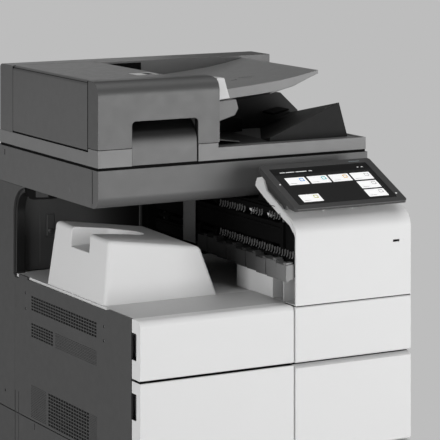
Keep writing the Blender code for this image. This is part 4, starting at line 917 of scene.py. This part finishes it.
for label, z in (("upper", 0.966), ("lower", 0.896)):
    bright, dull = [], []
    shaft = rod("y", (0.047, 0, z), 0.0040, -0.2970, 0.2600, 24)
    for y in DISCS:
        near = label == "upper" and y < -0.15
        w, r = (0.0034, 0.0088) if near else (0.0080, 0.0112)
        d = turned([(0.0041, y - w), (r - 0.0015, y - w), (r, y - w + 0.0015), (r, y + w - 0.0015),
                    (r - 0.0015, y + w), (0.0041, y + w)], "y", (0.047, 0, z), 32, cap=False)
        (bright if near else dull).append(d)
    obj("exit_rollers_" + label, together(shaft, *dull), M_DEEP, "exit_roller_" + label, 0.0,
        replaces=("exit_roller_" + label,))
    if bright:
        obj("exit_roller_tyres", together(*bright), M_RUBBER, "exit_roller_" + label, 0.0)

# =====================================================================  pillar and operator panel
OUT = [(PROUD_Y, 0.7968), (PROUD_Y, 0.9575), (-0.2331, 1.0110), (-0.2180, 1.0370), (-0.1930, 1.0320),
       (-0.1860, 1.0160), (-0.1860, 0.9868), (-0.2700, 0.9868), (-0.3020, 0.9720), (-0.3020, 0.7968)]
pil = prism(rounded(OUT, {1: 0.036, 2: 0.008, 3: 0.004, 4: 0.004}, 14), "x", SX1, HALF_W)
pil = cut(pil,
          prism(rounded([(-0.3445, 0.70), (-0.3445, 0.9550), (-0.2312, 1.0068), (-0.2155, 1.0335),
                         (-0.1960, 1.0290), (-0.1895, 1.0145), (-0.1895, 0.95), (-0.28, 0.95), (-0.28, 0.70)],
                        {1: 0.033}, 12), "x", SX1 + 0.0035, HALF_W - 0.0035),
          prism([(-0.3435, 0.70), (-0.3435, 0.9320), (-0.3400, 0.9380), (-0.3330, 0.9460), (-0.3243, 0.9529),
                 (-0.3010, 0.9621), (-0.2674, 0.9765), (-0.2334, 0.9914), (-0.2059, 1.0050), (-0.1890, 1.0150),
                 (-0.1700, 1.0150), (-0.1700, 0.70)], "x", 0.02, SX1 + 0.0050),
          box(SX1 + 0.0030, 0.30, -0.1930, -0.1700, 0.9850, 1.0120),
          box(0.2645, 0.2805, -0.36, -0.3440, 0.9056, 0.9102),
          rod("y", (0.2905, 0, 0.9078), 0.0009, -0.36, -0.3472, 16))
for lx in (0.1195, 0.1880):
    pil = join(pil, prism([(-0.3125, 0.9700), (-0.3125, 0.9815), (-0.3185, 0.9830), (-0.3200, 0.9855), (-0.3180, 0.9880),
                           (-0.3100, 0.9880), (-0.3070, 0.9700)], "x", lx, lx + 0.0030))
obj("pillar", pil, M_WHITE, "chassis", 0.0018, 3, replaces=("pillar_cover",))
cheek = [(-0.3390, 0.9400), (-0.3330, 0.9460), (-0.3243, 0.9529), (-0.3010, 0.9621), (-0.2674, 0.9765), (-0.2334, 0.9914),
         (-0.2059, 1.0050), (-0.1890, 1.0150), (-0.1900, 1.0250), (-0.2150, 1.0330), (-0.2233, 1.0260), (-0.2345, 1.0085),
         (-0.3220, 0.9680), (-0.3330, 0.9600), (-0.3400, 0.9500)]
obj("pillar_cheek", prism(cheek, "x", 0.0347, 0.0359), M_WHITE, "chassis", 0.0003, 1)
obj("pillar_liner", prism([(-0.3430, 0.8500), (-0.3430, 0.9300), (-0.3330, 0.9480), (-0.3240, 0.9560),
                           (-0.2300, 0.9960), (-0.1935, 1.0130), (-0.1910, 0.9880), (-0.2945, 0.9845),
                           (-0.2945, 0.8560)], "x", 0.0405, 0.0425),
    M_DEEP, "chassis", 0.0)
obj("pillar_inner_plate", box(0.0362, 0.2000, -0.3004, -0.2986, 0.7990, 0.8480), M_OFF, "chassis", 0.0)
obj("pillar_floor", box(0.0362, 0.2000, -0.3425, -0.2550, 0.7970, 0.7989), M_OFF, "chassis", 0.0)
obj("panel_hinge_rod", rod("x", (0.0, -0.3180, 0.9850), 0.0022, 0.1230, 0.1875, 20), M_PANEL, "chassis", 0.0)
obj("pillar_socket", box(0.2647, 0.2803, -0.3468, -0.3432, 0.9058, 0.9100), M_DEEP, "chassis", 0.0)
obj("gap_strip_pillar", box(SX1 + 0.0005, HALF_W - 0.0008, -0.3465, -0.3050, 0.7952, 0.7966), M_DEEP,
    "chassis", 0.0)
ca, sa = math.cos(TILT), math.sin(TILT)


def on_panel(u, n):
    return (-0.3600 + u * ca - n * sa, 0.9900 + u * sa + n * ca)


def tilted(mesh):
    """Lay a mesh drawn in panel coordinates (x, u, n) onto the panel."""
    bm = bmesh.new()
    bm.from_mesh(mesh)
    for v in bm.verts:
        y, z = on_panel(v.co.y, v.co.z)
        v.co = (v.co.x, y, z)
    return to_mesh(bm, clean=False)


def plate(x0, x1, u0, u1, n0, n1, r=0.0, steps=6):
    return tilted(prism(rounded([(x0, u0), (x1, u0), (x1, u1), (x0, u1)], r, steps), "z", n0, n1))


# dark plate on the slope under the panel: painted shade of the panel on the white pillar
plinth = prism([(-0.3060, 0.9815), (-0.3060, 0.9985), (-0.2310, 1.0330), (-0.2180, 1.0385), (-0.2080, 1.0390),
                (-0.2060, 1.0350), (-0.2180, 1.0372), (-0.2333, 1.0113)], "x", 0.0378, 0.2850)
obj("panel_plinth_painted_shade", plinth, M_PLINTH_SHADE, "chassis", 0.0012, 2)

shell = prism(rounded([on_panel(0, 0), on_panel(0.1642, 0), on_panel(0.1642, -0.0060), on_panel(0.1500, -0.0120),
                       on_panel(0.0200, -0.0120), on_panel(0, -0.0065)],
                      {0: 0.0022, 1: 0.0022, 2: 0.002, 3: 0.004, 4: 0.004, 5: 0.003}, 6), "x", 0.0285, 0.2926)
shell = both(shell, plate(0.0285, 0.2926, -0.0005, 0.1645, -0.03, 0.01, 0.0095, 10))
shell = cut(shell, plate(0.0440, 0.2760, 0.0148, 0.1480, -0.0016, 0.01, 0.0030, 5),
            plate(0.2380, 0.2650, 0.1535, 0.1550, -0.0008, 0.01, 0.0005, 3))
for lx in (0.108, 0.192):
    shell = join(shell, prism(rounded([(-0.3260, 0.9790), (-0.3260, 1.0000), (-0.3100, 1.0050), (-0.3100, 0.9790)],
                                      {0: 0.006, 3: 0.006}, 5), "x", lx, lx + 0.010))
obj("panel_housing", shell, M_PANEL, "operator_panel", 0.0012, 3, 40, replaces=("operator_panel",))
obj("screen", plate(0.0444, 0.2756, 0.0152, 0.1476, -0.0013, -0.0004, 0.0026, 5), M_SCREEN, "operator_panel",
    0.0002, 1, replaces=("touch_screen",))
obj("panel_status_light", plate(0.2385, 0.2645, 0.1537, 0.1548, -0.0010, -0.0003, 0.0004, 3),
    lit("finish_status_light", (0.35, 0.42, 0.45), 0.5), "operator_panel", 0.0)
obj("panel_key_dots", together(plate(0.0388, 0.0422, 0.0888, 0.0920, -0.0003, 0.0002, 0.0010, 6),
                               plate(0.2790, 0.2824, 0.0262, 0.0294, -0.0003, 0.0002, 0.0010, 6)),
    lit("finish_key_dot", (0.7, 0.7, 0.7), 0.7), "operator_panel", 0.0)

# display content: header bar, tiles, small generic icons
obj("screen_header", plate(0.0450, 0.2750, 0.1230, 0.1440, -0.0004, -0.00025, 0.0), M_SCREEN_BAR,
    "operator_panel", 0.0)
bits = []
for x, w in ((0.0620, 0.012), (0.0760, 0.020), (0.0990, 0.026), (0.1300, 0.008), (0.2460, 0.004), (0.2560, 0.004)):
    bits.append(plate(x, x + w, 0.1312, 0.1330, -0.00028, -0.00018, 0.0004, 2))
obj("screen_header_marks", together(*bits), lit("finish_header_mark", grey(235), 0.6), "operator_panel", 0.0)
TILE = lit("finish_screen_tile", grey(245), 0.45, 0.02)
tiles = []
W, H = 0.0465, 0.0262
SPOTS = (("blue", (0.10, 0.30, 0.62), 0.0615, 0.0860), ("teal", (0.05, 0.42, 0.45), 0.1135, 0.0860),
         ("amber", (0.62, 0.40, 0.12), 0.1645, 0.0860), ("grey_a", (0.45, 0.45, 0.45), 0.2160, 0.0860),
         ("grey_b", (0.45, 0.45, 0.45), 0.2155, 0.0545), ("grey_c", (0.42, 0.42, 0.42), 0.2150, 0.0235),
         ("olive", (0.45, 0.46, 0.16), 0.0605, 0.0235))
notes = []
for name, colour, x, u in SPOTS:
    tiles.append(plate(x, x + W, u, u + H, -0.00035, -0.00020, 0.0008, 3))
    notes.append(plate(x + 0.004, x + 0.020, u + 0.0045, u + 0.0058, -0.00021, -0.00012, 0.0004, 2))
obj("screen_tiles", together(*tiles), TILE, "operator_panel", 0.0)
obj("screen_tile_notes", together(*notes), lit("finish_tile_note", grey(150), 0.4), "operator_panel", 0.0)
for name, colour, x, u in SPOTS:
    cx, cu = x + W * 0.78, u + H * 0.64
    ring = cut(plate(cx - 0.0052, cx + 0.0052, cu - 0.0056, cu + 0.0056, -0.00022, -0.00012, 0.0016, 3),
               plate(cx - 0.0032, cx + 0.0032, cu - 0.0034, cu + 0.0034, -0.001, 0.001, 0.0008, 3))
    obj("screen_icon_" + name, ring, lit("finish_icon_" + name, colour, 0.5), "operator_panel", 0.0)

# =====================================================================  front doors


def front_door(name, node, bottom, top_left, top_right, crowned):
    left = prism(rounded([(DOOR_Y, bottom), (DOOR_Y, top_left), (DOOR_BACK, top_left), (DOOR_BACK, bottom)],
                         {0: 0.003, 1: 0.0140 if crowned else 0.003}, 10), "x", -HALF_W, SX0 + 0.0015)
    if crowned:
        left = both(left, prism(rounded([(-HALF_W, bottom - 0.01), (SX0 + 0.0015, bottom - 0.01),
                                         (SX0 + 0.0015, top_left + 0.0001), (-HALF_W, top_left + 0.0001)],
                                        {2: 0.010}, 10), "y", -0.36, -0.30))
    inner = [(DOOR_BACK, top_right), (DOOR_BACK, bottom)]
    if crowned:
        inner = [(-0.3270, top_right), (DOOR_BACK, top_right - 0.0250), (DOOR_BACK, bottom)]
        outline = [(PROUD_Y + 0.003, bottom), (PROUD_Y, bottom + 0.003), (PROUD_Y, top_right - 0.002),
                   (PROUD_Y + 0.002, top_right)]
    else:
        # finger bevel along the top of the right part
        outline = [(PROUD_Y + 0.003, bottom), (PROUD_Y, bottom + 0.003), (PROUD_Y, top_right - 0.0065),
                   (PROUD_Y + 0.0100, top_right - 0.0005), (PROUD_Y + 0.0105, top_right)]
    right_part = prism(outline + inner, "x", SX0 + 0.0010, HALF_W)
    body = join(left, right_part)
    body = cut(body,
               box(-HALF_W + 0.0030, SX0 - 0.0030, DOOR_Y + 0.0180, -0.28, bottom + 0.0040, top_left - 0.0160),
               box(SX0 + 0.0050, HALF_W - 0.0030, PROUD_Y + 0.0180, -0.28, bottom + 0.0040,
                   top_right - (0.030 if crowned else 0.014)),
               box(SX0, SX1, -0.36, DOOR_Y + 0.0040, bottom - 0.01, top_left + 0.01))
    # grip pocket in the left side
    g0, g1 = bottom + 0.034, bottom + 0.086
    if not crowned:
        g0, g1 = 0.6060, 0.6570
    else:
        g0, g1 = 0.7210, 0.7730
    body = cut(body, prism(rounded([(-0.3280, g0), (-0.3280, g1), (-0.2900, g1), (-0.2900, g0)], {0: 0.003, 1: 0.003}, 5),
                           "x", -0.32, -HALF_W + 0.012))
    obj(name, body, M_WHITE, node, 0.0010, 3, replaces=(node,))
    grip = prism(rounded([(-0.3276, g0 + 0.0003), (-0.3276, g1 - 0.0003), (-0.3093, g1 - 0.0003),
                          (-0.3093, g0 + 0.0003)], {0: 0.003, 1: 0.003}, 5), "x", -HALF_W + 0.0002, -HALF_W + 0.0118)
    grip = cut(grip, prism([(-HALF_W - 0.001, -0.3250), (-HALF_W + 0.0090, -0.3170), (-HALF_W + 0.0090, -0.3080),
                            (-HALF_W - 0.001, -0.3080)], "z", g0 + 0.003, g1 - 0.003))
    obj(name + "_grip", grip, M_DEEP, node, 0.0006, 2)
    strips = []
    if crowned:
        strips.append(box(-HALF_W + 0.0010, SX0 - 0.0005, DOOR_Y + 0.0028, -0.3100, bottom - 0.0006, bottom + 0.0010))
        strips.append(box(SX1 + 0.0005, HALF_W - 0.0010, PROUD_Y + 0.0045, -0.3100, bottom - 0.0006, bottom + 0.0010))
        strips.append(box(SX1 + 0.0010, HALF_W - 0.0010, PROUD_Y + 0.0040, -0.3290, top_right - 0.0010, top_right + 0.0005))
    else:
        strips.append(box(-HALF_W + 0.0010, SX0 - 0.0005, DOOR_Y + 0.0028, -0.3100, top_left - 0.0010, top_left + 0.0006))
        strips.append(box(SX1 + 0.0005, HALF_W - 0.0010, PROUD_Y + 0.0120, -0.3100, top_right - 0.0010, top_right + 0.0006))
    obj(name + "_gap_strip", together(*strips), M_DEEP, node, 0.0)
    # stiffening ribs inside
    rb = [box(x - 0.001, x + 0.001, DOOR_Y + 0.0170, -0.3120, bottom + 0.0038, top_right - 0.034)
          for x in (-0.24, -0.17, -0.10, -0.03, 0.10, 0.17, 0.24)]
    obj(name + "_ribs", together(*rb), M_WHITE, node, 0.0003, 1)


front_door("door_upper", "upper_front_door", 0.6845, LEDGE_Z, 0.7945, True)
front_door("door_lower", "lower_front_door", 0.5035, 0.6800, 0.6800, False)

# =====================================================================  drawers
for label, z0, z1 in (("1", 0.3980, 0.4990), ("2", 0.2935, 0.3955), ("3", 0.0780, 0.2815)):
    body = prism(rounded([(PROUD_Y + 0.002, z0), (PROUD_Y + 0.002, z1), (DOOR_BACK, z1), (DOOR_BACK, z0)],
                         {0: 0.003, 1: 0.003}, 6), "x", -HALF_W, HALF_W)
    body = cut(body,
               box(-HALF_W + 0.004, HALF_W - 0.004, PROUD_Y + 0.0300, -0.28, z0 + 0.004, z1 - 0.004),
               both(prism(rounded([(-0.36, z1 - 0.0100), (-0.3280, z1 - 0.0100), (-0.3280, z1 - 0.0260),
                                   (-0.3450, z1 - 0.0350), (-0.36, z1 - 0.0360)], {2: 0.006}, 6), "x", -0.0700, 0.0700),
                    prism(rounded([(-0.0700, z1 - 0.0400), (0.0700, z1 - 0.0400), (0.0700, z1 - 0.0100), (-0.0700, z1 - 0.0100)],
                                  0.006, 6), "y", -0.40, -0.30)),
               box(0.2480, 0.2700, -0.36, -0.3452, z0 + 0.020, z0 + 0.026) if label != "3" else
               box(0.2480, 0.2700, -0.36, -0.3452, z1 - 0.030, z1 - 0.024))
    obj("drawer_%s_front" % label, body, M_WHITE, "drawer_" + label, 0.0012, 3,
        replaces=("drawer_front_" + label,))
    keep("drawer_tub_" + label, M_BLACK, 0.0008, 2)
    zt = {"1": 0.4040, "2": 0.2935, "3": 0.0705}[label]
    obj("drawer_%s_guides" % label, together(
        box(-0.2150, -0.2120, -0.0900, 0.0900, zt + 0.0003, zt + 0.060),
        box(-0.1000, 0.1000, -0.1550, -0.1520, zt + 0.0003, zt + 0.060),
        box(-0.1000, 0.1000, 0.1520, 0.1550, zt + 0.0003, zt + 0.060)), M_INNER, "drawer_" + label,
        0.0008, 2)

# =====================================================================  right door, bypass tray
rd = cut(box(0.2800, HALF_W, -0.2985, 0.2055, 0.5066, 0.7970),
         box(0.2700, 0.2925, -0.2945, 0.2015, 0.5106, 0.7930),
         box(0.2960, 0.32, -0.2525, 0.1025, 0.5575, 0.7830),
         box(0.2980, 0.32, 0.1400, 0.1850, 0.6000, 0.7000))
obj("side_door", rd, M_SIDE, "right_door", 0.0012, 3, replaces=("right_door",))
obj("side_door_lever", prism(rounded([(0.2985, 0.1420), (0.3050, 0.1420), (0.3068, 0.1480), (0.3068, 0.1560), (0.3000, 0.1600),
                                      (0.2985, 0.1600)], {2: 0.002}, 4), "z", 0.6060, 0.6940),
    M_BLACK, "right_door", 0.0010, 2)
bt = prism(rounded([(0.2985, 0.5600), (0.2985, 0.7805), (HALF_W, 0.7805), (HALF_W, 0.5600)], {0: 0.003, 3: 0.003}, 5),
           "y", -0.2505, 0.1005)
bt = cut(bt, prism(rounded([(-0.1150, 0.7600), (-0.0350, 0.7600), (-0.0350, 0.7900), (-0.1150, 0.7900)], {0: 0.006, 1: 0.006}, 5),
                   "x", 0.3035, 0.32))
obj("bypass", bt, M_SIDE, "bypass_tray", 0.0010, 3, replaces=("bypass_tray",))

# =====================================================================  print engine behind the doors
for x, n in ((-0.21, "yellow"), (-0.09, "magenta"), (0.03, "cyan"), (0.15, "black")):
    z = 0.745
    prof = [(0.0210, -0.3055), (0.0270, -0.3050), (0.0288, -0.3030), (0.0290, -0.2700), (0.0265, -0.2660)]
    for k in range(24):
        y = -0.2600 + 0.0205 * k
        prof += [(0.0265, y), (0.0252, y + 0.006), (0.0265, y + 0.012)]
    prof += [(0.0265, 0.2400), (0.0140, 0.2700), (0.0050, 0.2760), (0.0050, 0.3036)]
    bottle = turned(prof, "y", (x, 0, z), 40)
    bottle = cut(bottle, box(x - 0.0150, x - 0.0035, -0.31, -0.2960, z - 0.0150, z + 0.0150),
                 box(x + 0.0035, x + 0.0150, -0.31, -0.2960, z - 0.0150, z + 0.0150))
    obj("toner_" + n, bottle, M_TONER[n], "toner_bottle_" + n, 0.0, replaces=("toner_bottle_" + n,))
    drum = turned([(0.0050, -0.2976), (0.0050, -0.2860), (0.0148, -0.2855), (0.0150, -0.2840), (0.0150, 0.2790),
                   (0.0050, 0.2800), (0.0050, 0.3036)], "y", (x, 0, 0.600), 48)
    obj("drum_unit_" + n, drum, M_DRUM, "drum_" + n, 0.0, replaces=("drum_" + n,))
    obj("unit_handle_" + n, prism(rounded([(x - 0.024, 0.6300), (x + 0.024, 0.6300), (x + 0.024, 0.6440), (x - 0.024, 0.6440)],
                                          0.005, 5), "y", -0.3060, -0.3035), M_TONER[n], "chassis", 0.0008, 2)
ip = box(-0.2970, 0.2760, -0.3040, -0.3005, 0.5066, 0.7870)
ip = cut(ip, together(*[rod("y", (x, 0, 0.745), 0.0320, -0.32, -0.29, 48) for x in (-0.21, -0.09, 0.03, 0.15)]),
         together(*[rod("y", (x, 0, 0.600), 0.0180, -0.32, -0.29, 40) for x in (-0.21, -0.09, 0.03, 0.15)]),
         together(*[box(x - 0.04, x + 0.04, -0.32, -0.3034, 0.6900, 0.6908) for x in (-0.21, -0.09, 0.03, 0.15)]),
         box(0.2050, 0.2650, -0.32, -0.29, 0.690, 0.774))
obj("engine_front_panel", ip, M_INNER, "chassis", 0.0006, 2, replaces=("inner_front_panel",))
obj("fuser_lever", prism(rounded([(0.2200, 0.7000), (0.2500, 0.7000), (0.2500, 0.7600), (0.2200, 0.7600)], 0.006, 5),
                         "y", -0.3040, -0.2995), M_TONER["cyan"], "chassis", 0.0010, 2)
obj("waste_toner_box", prism(rounded([(-0.2850, 0.5120), (0.2500, 0.5120), (0.2500, 0.5680), (-0.2850, 0.5680)], 0.006, 5),
                             "y", -0.3065, -0.3045), M_INNER, "chassis", 0.0008, 2)
keep("main_frame", M_STEEL, 0.0004, 1)
keep("laser_unit", M_BLACK, 0.0015, 2)
keep("transfer_belt_unit", M_BELT, 0.0010, 2, 40)
keep("fuser_housing", M_BLACK, 0.0010, 2)
keep("fuser_roller", M_FUSER, 0.0, smooth=40)

# =====================================================================  cabinet, feet, castors
keep("cabinet_shell", M_CAB, 0.0012, 2)
for n in ("levelling_foot_left", "levelling_foot_right"):
    keep(n, M_STEEL, 0.0006, 2, 40)
for n in ("front_left", "front_right", "rear_left", "rear_right"):
    keep("castor_wheel_" + n, M_TYRE, 0.0008, 2, 40)

# =====================================================================  floor, light, camera


def floor_material():
    m, t, b = nodes_of("studio_floor")
    geo = add(t, "ShaderNodeTexCoord")
    n = add(t, "ShaderNodeTexNoise", Scale=3.0, Detail=5.0)
    t.links.new(geo.outputs["Object"], n.inputs["Vector"])
    mix = add(t, "ShaderNodeMix", data_type="RGBA")
    mix.inputs[6].default_value = (*grey(214), 1)
    mix.inputs[7].default_value = (*grey(220), 1)
    t.links.new(n.outputs["Fac"], mix.inputs[0])
    t.links.new(mix.outputs[2], b.inputs["Base Color"])
    b.inputs["Roughness"].default_value = 0.8
    b.inputs["Specular IOR Level"].default_value = 0.1
    # far from the object the floor takes the flat tone of the backdrop
    far = add(t, "ShaderNodeVectorMath", operation="LENGTH")
    t.links.new(geo.outputs["Object"], far.inputs[0])
    fade = add(t, "ShaderNodeMapRange", interpolation_type="SMOOTHSTEP")
    fade.inputs["From Min"].default_value = 0.45
    fade.inputs["From Max"].default_value = 1.9
    t.links.new(far.outputs["Value"], fade.inputs["Value"])
    glow = add(t, "ShaderNodeEmission")
    glow.inputs["Color"].default_value = (*grey(189), 1)
    blend = add(t, "ShaderNodeMixShader")
    t.links.new(fade.outputs["Result"], blend.inputs[0])
    t.links.new(b.outputs[0], blend.inputs[1])
    t.links.new(glow.outputs[0], blend.inputs[2])
    t.links.new(blend.outputs[0], t.nodes["Material Output"].inputs["Surface"])
    return m


bm = bmesh.new()
bmesh.ops.create_grid(bm, x_segments=8, y_segments=8, size=12.0)
me = bpy.data.meshes.new("floor")
bm.to_mesh(me)
bm.free()
me.materials.append(floor_material())
floor = bpy.data.objects.new("studio_floor", me)
bpy.context.scene.collection.objects.link(floor)

world = bpy.data.worlds.new("studio")
bpy.context.scene.world = world
world.use_nodes = True
wt = world.node_tree
bg = wt.nodes["Background"]
bg.inputs["Color"].default_value = (1, 1, 1, 1)
bg.inputs["Strength"].default_value = 0.13
seen = add(wt, "ShaderNodeBackground")
seen.inputs["Color"].default_value = (*grey(189), 1)
path = add(wt, "ShaderNodeLightPath")
mixw = add(wt, "ShaderNodeMixShader")
wt.links.new(path.outputs["Is Camera Ray"], mixw.inputs[0])
wt.links.new(bg.outputs[0], mixw.inputs[1])
wt.links.new(seen.outputs[0], mixw.inputs[2])
wt.links.new(mixw.outputs[0], wt.nodes["World Output"].inputs["Surface"])


def area(name, loc, target, size, power, glossy=True):
    d = bpy.data.lights.new(name, "AREA")
    d.shape = "RECTANGLE"
    d.size, d.size_y = size
    d.energy = power
    o = bpy.data.objects.new(name, d)
    o.visible_glossy = glossy
    o.location = loc
    o.rotation_euler = (Vector(target) - Vector(loc)).to_track_quat("-Z", "Y").to_euler()
    bpy.context.scene.collection.objects.link(o)
    return o


area("key_front", (1.65, -3.45, 0.80), (0.0, -0.1, 0.85), (2.2, 2.2), 92)
area("fill_left", (-3.2, -1.2, 1.15), (0.0, 0.0, 0.95), (1.6, 2.0), 54)
area("top_soft", (0.2, -0.4, 3.6), (0.0, -0.1, 0.8), (2.2, 2.2), 24)
area("back_soft", (0.6, 3.6, 1.3), (0.0, 0.0, 0.8), (2.2, 2.2), 70, False)
sheen = area("back_sheen", (0.6, 3.6, 1.5), (0.0, 0.0, 0.8), (2.2, 2.2), 8)
sheen.visible_diffuse = False
area("right_soft", (3.6, 0.3, 1.3), (0.0, 0.0, 0.8), (2.0, 2.0), 60)

cam = bpy.data.cameras.new("camera")
cam.sensor_width = 36.0
cam.lens = 188.9
cam.shift_y = -0.845
co = bpy.data.objects.new("camera", cam)
co.location = Vector((-2.304, -4.2691, 1.7026)) + S
co.rotation_euler = (math.radians(90), 0, math.radians(-28.94))
bpy.context.scene.collection.objects.link(co)
bpy.context.scene.camera = co
# the rise of the lens belongs to the level camera at this height only; anywhere else the lens is centred
rise = cam.driver_add("shift_y").driver
rise.type = "SCRIPTED"
for name, channel in (("pitch", "ROT_X"), ("height", "LOC_Z")):
    var = rise.variables.new()
    var.name = name
    var.type = "TRANSFORMS"
    var.targets[0].id = co
    var.targets[0].transform_type = channel
    var.targets[0].transform_space = "WORLD_SPACE"
rise.expression = "-0.845 if pitch > 1.565 and height > 1.5 else 0.0"
bpy.context.scene.view_settings.view_transform = "Standard"
